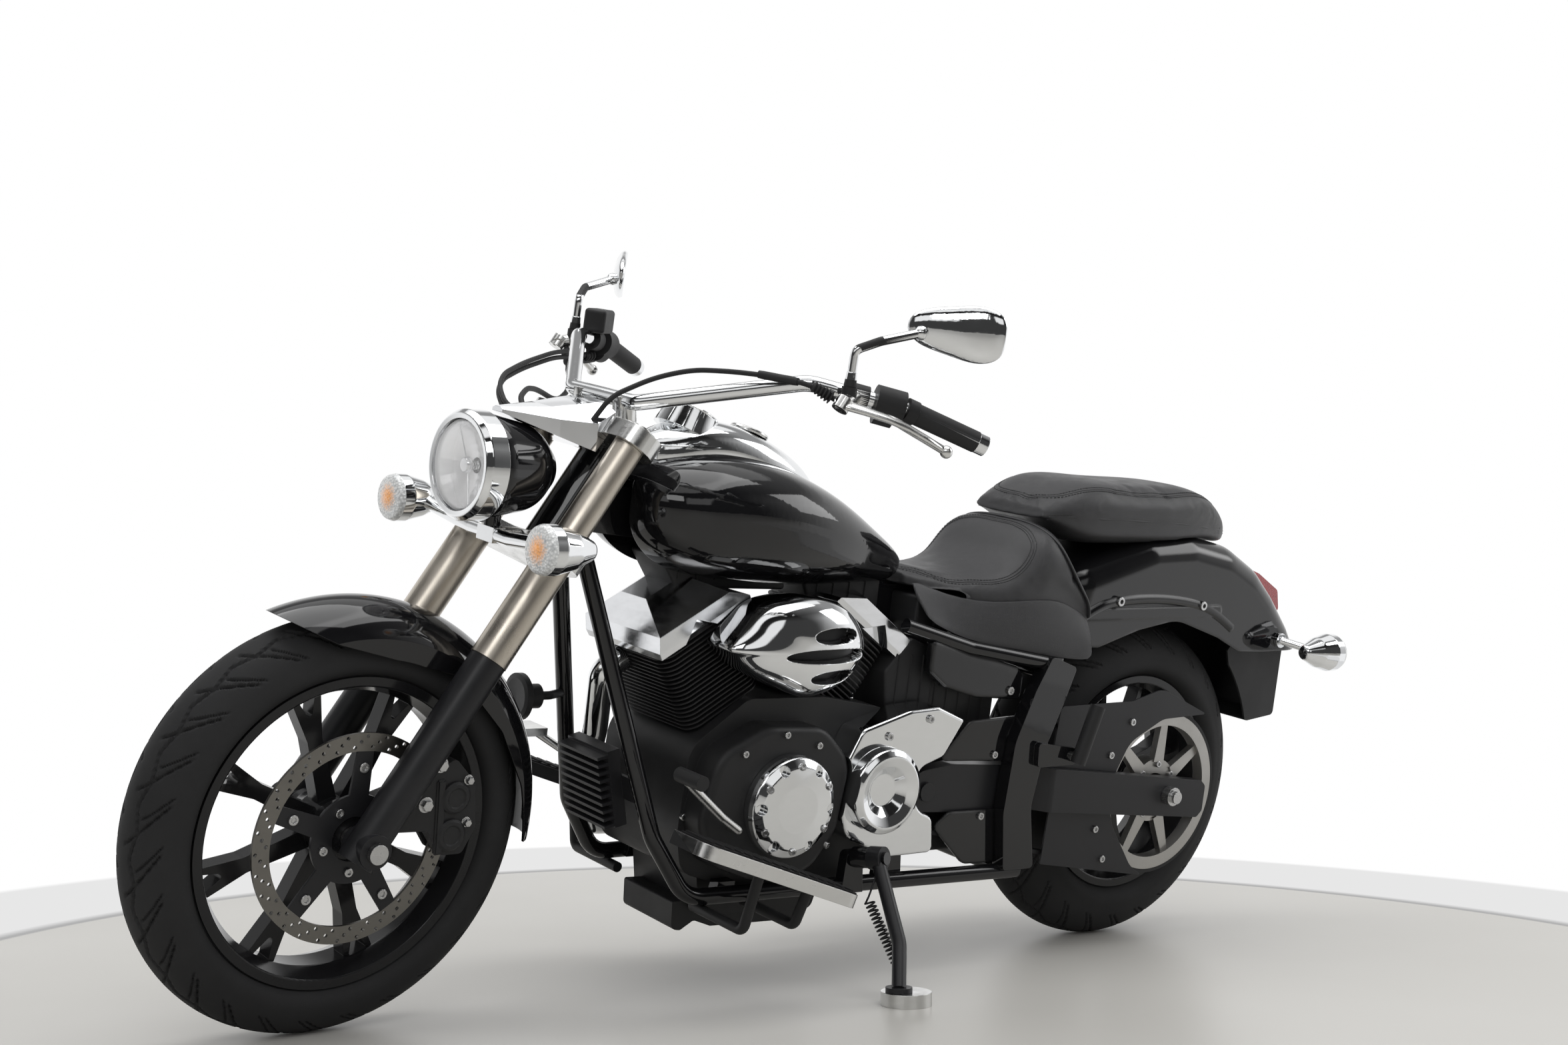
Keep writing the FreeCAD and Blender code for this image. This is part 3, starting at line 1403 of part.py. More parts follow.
def control_cables():
    """The clutch cable, the two throttle cables and the front brake's hose, up to the nacelle."""
    below = [(x, y - 2, z - 10) for x, y, z in throttle_route]
    made = [
        cord("clutch cable", clutch_route, size("cable_radius")),
        cord("throttle cable", throttle_route, size("cable_radius")),
        cord("return cable", below, size("cable_radius")),
        cord("brake hose", brake_route, size("hose_radius")),
    ]
    ends = [thing.Shape.copy() for thing in sub_parts if thing.Label in ("bar_controls", "nacelle",
        "headlight_shell")]
    for end in ends:
        end.Placement = Placement()
    made = [max(cable.cut(ends).Solids, key=lambda s: s.Volume) for cable in made]
    feature("control_cables", Part.makeCompound(made), steered)


def headlight():
    r = size("headlight_radius")
    centre = from_crown(size("headlight_ahead"), 0, -size("headlight_drop"))

    def shell_form(extra):
        return lathe(
            [(0, -160 - extra), (30, -158 - extra, 20), (66 + extra, -120, 60), (r - 4 + extra, -46, 60),
             (r - 4 + extra, -34), (0, -34)],
            "x",
        )

    rim = lathe([(r - 14, -34 + gap), (r - 14, 4), (r - 6, 5, 3), (r + 0.5, -4, 4), (r + 0.5, -34 + gap)],
        "x")
    lens = lathe([(0, -33), (r - 14 - gap, -33), (r - 14 - gap, -2, 2), (40, 8, 60), (0, 12)], "x")
    foot = rod(from_crown(202, 0, -135 + gap), from_crown(202, 0, -105), 13)
    feature("headlight_shell", fused([moved(shell_form(0.0), *centre), foot]), steered)
    feature("headlight_rim", moved(rim, *centre), steered)
    feature("headlight_lens", moved(lens, *centre), steered)
    visor(moved(shell_form(float(gap)), *centre))


def visor(shell):
    """The bright faceted cover between the headlight and the handlebar."""
    stations = ((219, 14, 41, 49), (139, 56, 15, 57), (80, 74, -3, 67), (48, 72, 40, 73))
    wires = []
    for x, half, low, high in stations:
        mid = low + (high - low) * 0.62
        points = [
            (-half, low), (-half * 0.97, mid), (-half * 0.5, high), (half * 0.5, high),
            (half * 0.97, mid), (half, low),
        ]
        wires.append(section([tuple(from_crown(x, y, z)) for y, z in points]))
    form = Part.makeLoft(wires, True, True)
    form = form.cut(shell).cut(clamp_plate(upper_clamp_low - gap, upper_clamp_high + gap, 0.3))
    feature("nacelle", max(form.Solids, key=lambda s: s.Volume), steered)


def front_fender():
    """A narrow arched blade over the front tyre, held at the sliders."""
    inner = size("front_tyre_radius") + 25.5
    wall = 4.0
    half = 75.0
    low = inner - 75
    rise = inner - 45
    edges = [
        Part.LineSegment(Vector(low, half, 0), Vector(rise, half, 0)).toShape(),
        Part.Arc(Vector(rise, half, 0), Vector(inner + wall, 0, 0), Vector(rise, -half, 0)).toShape(),
        Part.LineSegment(Vector(rise, -half, 0), Vector(low, -half, 0)).toShape(),
        Part.LineSegment(Vector(low, -half, 0), Vector(low, -half + wall, 0)).toShape(),
        Part.LineSegment(Vector(low, -half + wall, 0), Vector(rise - 2, -half + wall, 0)).toShape(),
        Part.Arc(Vector(rise - 2, -half + wall, 0), Vector(inner, 0, 0),
            Vector(rise - 2, half - wall, 0)).toShape(),
        Part.LineSegment(Vector(rise - 2, half - wall, 0), Vector(low, half - wall, 0)).toShape(),
        Part.LineSegment(Vector(low, half - wall, 0), Vector(low, half, 0)).toShape(),
    ]
    face = Part.Face(Part.Wire(edges))
    blade = face.revolve(Vector(0, 0, 0), Vector(0, 1, 0), -124)
    blade.rotate(Vector(0, 0, 0), Vector(0, 1, 0), -64)
    keep_shape = side_plate(
        [(150, 330, 2), (60, 292, 60), (-60, 262, 60), (-150, 240, 60), (-240, 150, 40), (-290, 60, 60),
         (-312, -34), (-400, -34), (-400, 420), (200, 420)],
        -120, 120,
    )
    blade = blade.common(keep_shape)
    reach = size("fork_half_spacing") - size("slider_radius") - gap
    up = Vector(steer_up) * 284
    lugs = [rod((up.x, s * (half - 2), up.z), (up.x, s * reach, up.z), 9) for s in (1, -1)]
    feature("front_fender", fused([blade, *lugs]), steered.multiply(Placement(front_hub, Rotation())))


def front_caliper():
    block = side_plate(
        [(-137, -29.5, 14), (-175, -29.5, 10), (-195, 10.5, 20), (-185, 80.5, 20), (-145, 120.5, 10),
         (-110, 100.5, 10), (-95, 30.5, 20)],
        54, 100,
    )
    bracket = side_plate([(-120, 10, 6), (-20, 14, 6), (-42, 92, 8), (-130, 100, 6)], 84, 100)
    y = size("front_disc_offset")
    slot = rod((0, y - 8, 0), (0, y + 8, 0), size("front_disc_radius") + 5)
    slider = leg(-28, size("slider_length"), size("slider_radius") + gap, 1)
    slider.translate(-front_hub)
    shape = fused([block, bracket]).cut(slot).cut(slider)
    feature("front_caliper", shape.Solids[0], steered.multiply(Placement(front_hub, Rotation())))


def side_stand():
    """The stand's eye on its pin, its leg with a cranked ankle and its foot flat on the pad."""
    top = size("puck_height") + gap
    plate = rod(
        (size("stand_foot_forward"), size("puck_left"), top),
        (size("stand_foot_forward"), size("puck_left"), top + 8), 22,
    )
    plate.Placement = to_bike
    ankle = to_bike.multVec(Vector(size("stand_foot_forward"), size("puck_left"), top + 4))
    down = (ankle - stand_pivot).normalize()
    knee = stand_pivot + (ankle - stand_pivot) * 0.66 + Vector(-14, 4, 0)
    limb = tube([tuple(stand_pivot + down * 8), tuple(knee), tuple(ankle)], size("stand_tube_radius"), 60)
    eye = rod(stand_pivot - stand_axis * 13, stand_pivot + stand_axis * 13, 20)
    bore = rod(stand_pivot - stand_axis * 30, stand_pivot + stand_axis * 30,
        size("stand_pin_radius") + size("running_gap"))
    clear = [
        rod(stand_pivot - stand_axis * 50, stand_pivot - stand_axis * 13, 19),
        rod(stand_pivot + stand_axis * 13, stand_pivot + stand_axis * 50, 12),
    ]
    below = Part.makeBox(200, 200, top, Vector(size("stand_foot_forward") - 100, size("puck_left") - 100, 0))
    below.Placement = to_bike
    feature("side_stand", fused([limb, eye, plate]).cut([bore, below, *clear]))


front_wheel()
rear_wheel()
rear_pulley()
frame()
swingarm()
rear_axle()
front_axle()
engine_cases()
skid_plate()
crank_covers()
cylinders()
cylinder_head_covers()
sprocket_cover()
air_cleaner()
regulator()
horn()
exhaust()
fuel_tank()
tank_console()
seats()
rear_fender()
mud_flap()
tail_lamp()
rear_signals()
front_signals()
side_covers()
belt_guards()
drive_belt()
footrests()
foot_controls()
rear_caliper()
stand_puck()
fork()
fork_clamps()
handlebar()
grips()
bar_controls()
mirrors()
headlight()
control_cables()
front_fender()
front_caliper()
side_stand()

doc.recompute()

# Every object is sound and every sub-part is a closed, valid solid.
faults = [thing.Name for thing in doc.Objects if "Invalid" in thing.State or "Error" in thing.State]
faults += [
    thing.Label for thing in sub_parts
    if thing.Shape.isNull() or not thing.Shape.isValid() or not thing.Shape.Solids
]
if faults:
    raise RuntimeError("not sound: " + ", ".join(faults))
for thing in sub_parts:
    thing.Shape.exportStep(f"parts/{thing.Label}.step")
    print(thing.Label, len(thing.Shape.Solids), "solids", round(thing.Shape.Volume / 1000), "cm3")
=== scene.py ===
"""A cruiser motorcycle in a pale studio: surfaces, seats, treads, lamps and small fittings.

Unless a comment says otherwise, points are millimetres on the upright machine: ahead, left and up
from the floor under the rear axle.
"""

import json
from math import cos, hypot, pi, radians, sin

import bmesh
import bpy
import numpy as np
from mathutils import Matrix, Vector
from mathutils.bvhtree import BVHTree


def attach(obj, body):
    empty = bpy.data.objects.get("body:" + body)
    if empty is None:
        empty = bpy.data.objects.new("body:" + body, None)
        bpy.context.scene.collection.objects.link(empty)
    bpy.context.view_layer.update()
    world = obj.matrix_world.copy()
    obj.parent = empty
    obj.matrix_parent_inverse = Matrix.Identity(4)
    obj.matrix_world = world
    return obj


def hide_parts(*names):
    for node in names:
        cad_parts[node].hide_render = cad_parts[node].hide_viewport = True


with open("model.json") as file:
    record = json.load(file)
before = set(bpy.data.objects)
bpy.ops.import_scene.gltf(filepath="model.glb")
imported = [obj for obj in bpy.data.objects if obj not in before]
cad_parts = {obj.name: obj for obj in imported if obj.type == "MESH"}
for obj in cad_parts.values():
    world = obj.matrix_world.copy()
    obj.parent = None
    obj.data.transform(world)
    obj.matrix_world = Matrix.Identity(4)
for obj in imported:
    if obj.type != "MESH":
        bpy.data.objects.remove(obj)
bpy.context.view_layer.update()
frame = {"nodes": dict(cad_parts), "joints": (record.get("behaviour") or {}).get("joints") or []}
nodes = frame["nodes"]
scene = bpy.context.scene
joints = {joint["name"]: joint for joint in frame["joints"]}

# Places: matrices from the machine's millimetres to the frame
RAKE = radians(32)
WHEELBASE, FRONT_RADIUS, REAR_RADIUS = 1685.0, 319.5, 322.0
MM = Matrix.Scale(0.001, 4)
FULL_TURN = 2 * pi
SIDES = ((1, "left"), (-1, "right"))
shift = Matrix.Translation


def rotated(degrees, axis):
    return Matrix.Rotation(radians(degrees), 4, axis)


def wheel_place(wheel):
    """The place of a wheel's hub, from its axle and the steering axis."""
    joint = joints[wheel + "_spin"]
    left, up = Vector(joint["axis"]).normalized(), Vector(joints["steering"]["axis"]).normalized()
    ahead = left.cross(up)
    forward = ahead * cos(RAKE) - up * sin(RAKE)
    upward = ahead * sin(RAKE) + up * cos(RAKE)
    turn = Matrix((forward, left, upward)).transposed().to_4x4()
    return shift(Vector(joint["pos_m"])) @ turn @ MM


REAR_HUB, FRONT_HUB = wheel_place("rear_wheel"), wheel_place("front_wheel")
CHASSIS = REAR_HUB @ shift((0, 0, -REAR_RADIUS))
STEERED = FRONT_HUB @ shift((-WHEELBASE, 0, -FRONT_RADIUS))


def facing(at, direction, roll="Y"):
    """A place at a point with its own Z along a direction."""
    return shift(Vector(at)) @ Vector(direction).to_track_quat("Z", roll).to_matrix().to_4x4()


def toward(way, place=CHASSIS):
    """A direction on the machine as a unit vector in the frame."""
    return (place.to_3x3() @ Vector(way)).normalized()


# Materials
def tint(colour, gain, lift=0.0):
    return tuple(c * gain + lift for c in colour)


class Nodes:
    """Adds nodes to a tree; each input takes a value or a socket to link."""

    def __init__(self, tree):
        self.tree = tree

    def join(self, value, socket):
        if isinstance(value, bpy.types.NodeSocket):
            self.tree.links.new(value, socket)
        else:
            socket.default_value = (*value, 1) if socket.type == "RGBA" else value

    def add(self, kind, *ordered, operation=None, **named):
        """A node with inputs given in order or by name."""
        node = self.tree.nodes.new("ShaderNode" + kind)
        if operation:
            node.operation = operation
        for index, value in enumerate(ordered):
            self.join(value, node.inputs[index])
        for key, value in named.items():
            self.join(value, node.inputs[key.replace("_", " ")])
        return node

    def maths(self, operation, *values):
        return self.add("Math", *values, operation=operation).outputs[0]

    def measure(self, operation, place, vector):
        """The dot product or distance of a place and a fixed vector."""
        return self.add("VectorMath", place, vector, operation=operation).outputs["Value"]

    def ramp(self, value, low, high, start=0.3, stop=0.7):
        """A value carried from the range start to stop into the range low to high."""
        made = self.add("MapRange", Value=value, From_Min=start, From_Max=stop, To_Min=low, To_Max=high)
        return made.outputs["Result"]


class Shader(Nodes):
    """The tree of a new surface material."""

    def __init__(self, name):
        self.material = bpy.data.materials.new(name)
        self.material.use_nodes = True
        super().__init__(self.material.node_tree)
        self.shader = self.tree.nodes["Principled BSDF"]
        self.place = self.add("TexCoord").outputs["Object"]

    def noise(self, scale, detail=3.0, rough=0.55, stretch=None):
        place = self.place
        if stretch:
            place = self.add("Mapping", Vector=place, Scale=stretch).outputs["Vector"]
        return self.add("TexNoise", Vector=place, Scale=scale, Detail=detail, Roughness=rough).outputs["Fac"]

    def cells(self, scale, feature="F1"):
        made = self.add("TexVoronoi", Vector=self.place, Scale=scale)
        made.feature = feature
        return made.outputs["Distance"]

    def mix(self, factor, first, second):
        """A pattern's blend of two colours."""
        made = self.tree.nodes.new("ShaderNodeMix")
        made.data_type = "RGBA"
        for value, index in ((factor, 0), (first, 6), (second, 7)):
            self.join(value, made.inputs[index])
        return made.outputs[2]

    def tones(self, factor, colour, gain, lift=0.0):
        """A pattern's blend of a colour and a lighter or darker one."""
        return self.mix(factor, colour, tint(colour, gain, lift))

    def bump(self, height, depth, edge=None):
        """A bumped normal, over edges rounded to a radius if one is given."""
        made = self.add("Bump", Height=height, Strength=1.0, Distance=depth)
        if edge:
            bevel = self.add("Bevel", Radius=edge)
            bevel.samples = 4
            self.join(bevel.outputs["Normal"], made.inputs["Normal"])
        return made.outputs["Normal"]

    def done(self, **inputs):
        """Set the surface's inputs and give the material."""
        for key, value in inputs.items():
            self.join(value, self.shader.inputs[key.replace("_", " ")])
        return self.material


def gloss_paint(name, colour, edge):
    made = Shader(name)
    return made.done(
        Base_Color=made.tones(made.noise(3.0), colour, 1.6, 0.001),
        Roughness=made.ramp(made.noise(900.0, 2.0), 0.03, 0.075), Specular_IOR_Level=0.55, IOR=1.5,
        Normal=made.bump(made.noise(38.0, 1.0), 0.00006, edge),
    )


def satin_coat(name, colour, low, high, grain, depth):
    """Powder coat, cast or moulded black: fine grain with uneven gloss."""
    made = Shader(name)
    patch = made.noise(9.0, 4.0)
    return made.done(
        Base_Color=made.tones(patch, colour, 1.9, 0.002),
        Roughness=made.ramp(patch, low, high), Specular_IOR_Level=0.32,
        Normal=made.bump(made.noise(grain, 3.0, 0.6), depth, 0.0012),
    )


def plated(name, colour, low, high, depth=0.00002, wave=60.0, metallic=1.0):
    """Bright plate with faint smears and a slightly wavy face."""
    made = Shader(name)
    smear = made.noise(26.0, 5.0, 0.65, (1, 1, 3))
    return made.done(
        Base_Color=made.tones(smear, colour, 0.93), Metallic=metallic,
        Roughness=made.ramp(smear, low, high), Normal=made.bump(made.noise(wave, 1.0), depth, 0.0015),
    )


def brushed(name, colour, low, high, stretch, grain=700.0, depth=0.00003):
    """Metal with fine scratches drawn out along one direction."""
    made = Shader(name)
    lines = made.noise(grain, 3.0, 0.7, stretch)
    return made.done(
        Base_Color=made.mix(lines, tint(colour, 0.85), colour), Metallic=1.0,
        Roughness=made.ramp(made.noise(12.0, 4.0), low, high), Normal=made.bump(lines, depth, 0.001),
    )


def turned_metal(name, colour, hub):
    """Metal with scratches in circles round a wheel's axle."""
    made = Shader(name)
    squares = []
    for row in (0, 2):
        *turn, move = (value * 0.001 for value in hub.inverted()[row])
        offset = made.maths("ADD", made.measure("DOT_PRODUCT", made.place, turn), move)
        squares.append(made.maths("MULTIPLY", offset, offset))
    rings = made.add("TexNoise", Scale=1800.0, Detail=3.0)
    rings.noise_dimensions = "1D"
    made.join(made.maths("SQRT", made.maths("ADD", *squares)), rings.inputs["W"])
    scratches = rings.outputs["Fac"]
    return made.done(
        Base_Color=made.mix(scratches, tint(colour, 0.72), colour), Metallic=1.0,
        Roughness=made.ramp(made.noise(30.0, 4.0), 0.28, 0.46), Normal=made.bump(scratches, 0.00005),
    )


def rubber_skin(name, colour, rough, grain, depth):
    made = Shader(name)
    fine = made.noise(grain, 4.0, 0.7)
    return made.done(
        Base_Color=made.tones(made.noise(7.0, 6.0, 0.65), colour, 1.8, 0.004),
        Roughness=made.ramp(fine, rough - 0.08, rough + 0.08), Specular_IOR_Level=0.25,
        Normal=made.bump(fine, depth),
    )


def leather_skin(name, colour):
    made = Shader(name)
    pores = made.ramp(made.cells(620.0, "DISTANCE_TO_EDGE"), 0.0, 1.0, 0.0, 0.12)
    folds = made.noise(34.0, 4.0)
    return made.done(
        Base_Color=made.tones(folds, colour, 1.5, 0.003),
        Roughness=made.ramp(folds, 0.34, 0.46), Specular_IOR_Level=0.5,
        Normal=made.bump(made.maths("ADD", pores, folds), 0.00016),
    )


def thin_cover(name):
    """A thin clear cover, nearly invisible head on and bright at its edge."""
    made = Shader(name)
    edge = made.add("LayerWeight", Blend=0.35).outputs["Facing"]
    dust = made.noise(50.0)
    return made.done(
        Base_Color=made.mix(dust, (0.86, 0.87, 0.88), (0.92, 0.92, 0.93)),
        Roughness=made.ramp(dust, 0.02, 0.05), Alpha=made.ramp(edge, 0.14, 0.75, 0.15, 0.95),
    )


def prism_glass(name, colour):
    """Clear glass with small prisms."""
    made = Shader(name)
    dust = made.noise(50.0)
    return made.done(
        Base_Color=made.tones(dust, colour, 0.96), Transmission_Weight=1.0, IOR=1.45,
        Roughness=made.ramp(dust, 0.04, 0.07), Normal=made.bump(made.cells(260.0), 0.0012),
    )


def tinted_lens(name, colour):
    """A coloured plastic lens with small prisms."""
    made = Shader(name)
    cells = made.cells(420.0)
    return made.done(
        Base_Color=made.tones(cells, colour, 0.5),
        Roughness=made.ramp(made.noise(80.0), 0.05, 0.12), Coat_Weight=1.0, Coat_Roughness=0.03,
        Transmission_Weight=0.35, Normal=made.bump(cells, 0.0006),
    )


def signal_lens(name, place, bulb):
    """A clear moulded lens with an amber bulb glowing through its middle, on both sides."""
    made = Shader(name)
    x, y, z = bulb
    away = [made.measure("DISTANCE", made.place, place @ Vector((x, side * y, z))) for side in (1, -1)]
    cells = made.cells(240.0)
    blurred = made.maths("MULTIPLY_ADD", cells, 0.012, made.maths("MINIMUM", *away))
    pale = made.mix(cells, (0.80, 0.81, 0.80), (0.36, 0.37, 0.38))
    return made.done(
        Base_Color=made.mix(made.ramp(blurred, 1.0, 0.0, 0.014, 0.03), pale, (0.83, 0.36, 0.10)),
        Roughness=made.ramp(made.noise(90.0), 0.05, 0.14), Coat_Weight=1.0, Coat_Roughness=0.02,
        Normal=made.bump(cells, 0.0014),
    )


paint = gloss_paint("black_paint", (0.0035, 0.0035, 0.004), 0.0012)
body_paint = gloss_paint("black_body_paint", (0.0035, 0.0035, 0.004), 0.008)
rim_paint = satin_coat("rim_black", (0.006, 0.006, 0.0065), 0.12, 0.24, 500.0, 0.00003)
coat = satin_coat("satin_black_coat", (0.008, 0.008, 0.009), 0.28, 0.44, 1400.0, 0.00005)
cast = satin_coat("cast_black", (0.009, 0.009, 0.0095), 0.34, 0.56, 900.0, 0.00018)
moulded = satin_coat("moulded_black", (0.009, 0.009, 0.0095), 0.42, 0.6, 1100.0, 0.0001)
thread = satin_coat("seam_thread", (0.02, 0.02, 0.021), 0.5, 0.7, 4000.0, 0.0001)
dial_face = satin_coat("dial_face", (0.01, 0.01, 0.011), 0.4, 0.5, 900.0, 0.00002)
dial_mark = satin_coat("dial_mark", (0.75, 0.75, 0.73), 0.5, 0.6, 900.0, 0.00002)
chrome = plated("bright_chrome", (0.84, 0.85, 0.86), 0.02, 0.09)
polished = plated("polished_alloy", (0.72, 0.72, 0.71), 0.14, 0.3, 0.00004)
facets = plated("satin_chrome", (0.80, 0.81, 0.83), 0.10, 0.22, 0.00004)
visor = plated("visor_chrome", (0.80, 0.81, 0.83), 0.03, 0.08, 0.0022, 11.0)
reflector = plated("lamp_reflector", (0.93, 0.93, 0.94), 0.08, 0.2, 0.0, metallic=0.55)
mirror_glass = plated("mirror_glass", (0.9, 0.9, 0.91), 0.0, 0.01, 0.0)
bolt_steel = plated("bolt_steel", (0.55, 0.55, 0.55), 0.18, 0.34)
nickel = brushed("brushed_nickel", (0.60, 0.55, 0.48), 0.26, 0.4, (1.0, 1.0, 0.06))
alloy = brushed("cast_alloy", (0.46, 0.45, 0.43), 0.34, 0.5, (1.0, 1.0, 1.0), 400.0, 0.00006)
disc_metal = turned_metal("front_disc_steel", (0.24, 0.23, 0.21), FRONT_HUB)
rear_disc_metal = turned_metal("rear_disc_steel", (0.26, 0.25, 0.235), REAR_HUB)
tyre_rubber = rubber_skin("tyre_rubber", (0.0105, 0.0105, 0.011), 0.72, 1600.0, 0.00012)
soft_rubber = rubber_skin("soft_rubber", (0.012, 0.012, 0.0125), 0.6, 2200.0, 0.0001)
leather = leather_skin("black_leather", (0.016, 0.016, 0.0175))
glass = thin_cover("lamp_glass")
prism = prism_glass("prism_glass", (0.95, 0.96, 0.96))
red = tinted_lens("red_lens", (0.55, 0.012, 0.02))
front_lens = signal_lens("front_signal_lens", STEERED, (1524, 208, 780))
rear_lens = signal_lens("rear_signal_lens", CHASSIS, (-436, 190, 604))

finish_of = {
    paint: "fuel_tank front_fender headlight_shell frame",
    body_paint: "rear_fender side_covers",
    rim_paint: "front_rim rear_rim",
    coat: "swingarm belt_guards fork_sliders side_stand regulator",
    cast: "engine_cases skid_plate cylinders front_caliper rear_caliper horn",
    chrome: "crank_covers sprocket_cover air_cleaner tank_console exhaust_pipes silencer headlight_rim "
    "handlebar mirrors front_signals rear_signals",
    nickel: "fork_covers",
    facets: "head_covers",
    visor: "nacelle",
    bolt_steel: "rear_axle front_axle",
    alloy: "rear_pulley",
    soft_rubber: "drive_belt grips control_cables",
    moulded: "mud_flap bar_controls footrests",
    glass: "headlight_lens",
    red: "tail_lamp",
    leather: "rider_seat pillion_seat",
    tyre_rubber: "front_tyre rear_tyre",
    disc_metal: "front_disc",
    rear_disc_metal: "rear_disc",
    polished: "fork_clamps stand_puck foot_controls",
}
for finish, names in finish_of.items():
    for name in names.split():
        nodes[name].data.materials.clear()
        nodes[name].data.materials.append(finish)


def refinish(name, finish, wanted, place=CHASSIS):
    """Give the faces of a node that pass a test, on its middle and outward direction, another finish."""
    mesh = nodes[name].data
    mesh.materials.append(finish)
    back = place.inverted()
    turn = back.to_3x3()
    for face in mesh.polygons:
        if wanted(back @ face.center, (turn @ face.normal).normalized()):
            face.material_index = len(mesh.materials) - 1


# Search trees and lines laid on surfaces
trees = {}


def mesh_tree(mesh):
    return BVHTree.FromPolygons([v.co for v in mesh.vertices], [tuple(f.vertices) for f in mesh.polygons])


def laid_on(name, points, way):
    """Carry points onto a piece along a direction; gives places and outward normals in the frame."""
    if name not in trees:
        trees[name] = mesh_tree(nodes[name].data)
    ray, start = toward(way), Vector(way) * -600
    made = []
    for at in points:
        hit, normal, _, _ = trees[name].ray_cast(CHASSIS @ (Vector(at) + start), ray)
        if hit is not None:
            made.append((hit, normal if normal.dot(ray) < 0 else -normal))
    return made


def laid_from_side(name, spots, side):
    """Carry (x, z) spots onto a piece from the left (1) or the right (-1)."""
    return laid_on(name, [(x, 0, z) for x, z in spots], (0, -side, 0))


def smooth_closed(points, steps=6):
    """Points on a round closed curve through flat ones."""
    made = []
    count = len(points)
    for i in range(count):
        p0, p1, p2, p3 = (Vector(points[(i + k) % count]) for k in (-1, 0, 1, 2))
        for t in (k / steps for k in range(steps)):
            made.append(0.5 * (
                2 * p1 + (p2 - p0) * t + (2 * p0 - 5 * p1 + 4 * p2 - p3) * t * t
                + (3 * p1 - p0 - 3 * p2 + p3) * t**3
            ))
    return made


# Pieces and the forms that they are built from
def linked(name, data):
    piece = bpy.data.objects.new(name, data)
    scene.collection.objects.link(piece)
    return piece


def shown(name, mesh, finishes, body="chassis", smooth=35.0):
    """Link a mesh as a piece that rides on a body, smooth up to an angle."""
    for finish in finishes if isinstance(finishes, list) else [finishes]:
        mesh.materials.append(finish)
    if smooth:
        mesh.polygons.foreach_set("use_smooth", [True] * len(mesh.polygons))
        mesh.set_sharp_from_angle(angle=radians(smooth))
    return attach(linked(name, mesh), body)


def from_bmesh(name, form, finishes, body="chassis", smooth=35.0):
    mesh = bpy.data.meshes.new(name)
    bmesh.ops.recalc_face_normals(form, faces=form.faces)
    form.to_mesh(mesh)
    form.free()
    return shown(name, mesh, finishes, body, smooth)


def modify(piece, kind, **settings):
    modifier = piece.modifiers.new(kind.lower(), kind)
    for key, value in settings.items():
        setattr(modifier, key, value)
    return modifier


def apply_modifiers(piece):
    graph = bpy.context.evaluated_depsgraph_get()
    made = bpy.data.meshes.new_from_object(piece.evaluated_get(graph))
    piece.modifiers.clear()
    piece.data = made


def spin(form, profile, place, steps, material=0):
    """Add a turned solid: (radius, height) pairs round the place's Z axis."""
    turns = [FULL_TURN * i / steps for i in range(steps)]
    rings = []
    for radius, height in profile:
        spots = [(radius * cos(a), radius * sin(a), height) for a in turns[: steps if radius else 1]]
        rings.append([form.verts.new(place @ Vector(at)) for at in spots])
    for low, high in zip(rings, rings[1:]):
        for i in range(steps):
            j = (i + 1) % steps
            corners = [low[i % len(low)], low[j % len(low)], high[j % len(high)], high[i % len(high)]]
            corners = list(dict.fromkeys(corners))
            if len(corners) > 2:
                form.faces.new(corners).material_index = material


def turned(name, profile, place, steps, finish, body="chassis", smooth=35.0):
    """A piece that is one turned solid."""
    form = bmesh.new()
    spin(form, profile, place, steps)
    return from_bmesh(name, form, finish, body, smooth)


def ring(form, centre, across, up, count, place=Matrix.Identity(4)):
    """Vertices round an ellipse with two half axes."""
    turns = [FULL_TURN * k / count for k in range(count)]
    return [form.verts.new(place @ (centre + across * cos(a) + up * sin(a))) for a in turns]


def skin(form, rows):
    """Faces between closed rows of vertices, with both ends capped."""
    count = len(rows[0])
    for a, b in zip(rows, rows[1:]):
        for i in range(count):
            j = (i + 1) % count
            form.faces.new((a[i], a[j], b[j], b[i]))
    form.faces.new(rows[0])
    form.faces.new(rows[-1][::-1])


def block(form, place, size):
    return bmesh.ops.create_cube(form, size=1.0, matrix=place @ Matrix.Diagonal((*size, 1)))["verts"]


def soften(form, verts, offset, segments, profile=0.0):
    """Bevel the edges that meet at some vertices."""
    edges = list({edge for vert in verts for edge in vert.link_edges})
    bmesh.ops.bevel(form, geom=edges, offset=offset, segments=segments, profile=profile, affect="EDGES")


def cap_screw(form, place, radius, height):
    """A round screw head with a socket."""
    socket, floor = radius * 0.5, height * 0.45
    spin(form, [
        (0, -1), (radius, -1), (radius, height - 0.8), (radius - 0.8, height), (socket, height),
        (socket, floor), (0, floor),
    ], place, 18)


def hex_head(form, place, radius, height):
    """A hexagon head on a flange."""
    spin(form, [(0, -1), (radius * 1.35, -1), (radius * 1.35, 1.0), (radius * 1.1, 1.4), (0, 1.4)], place, 24)
    spin(form, [(radius, 1.0), (radius, height - 0.6), (radius - 0.9, height), (0, height)], place, 6)


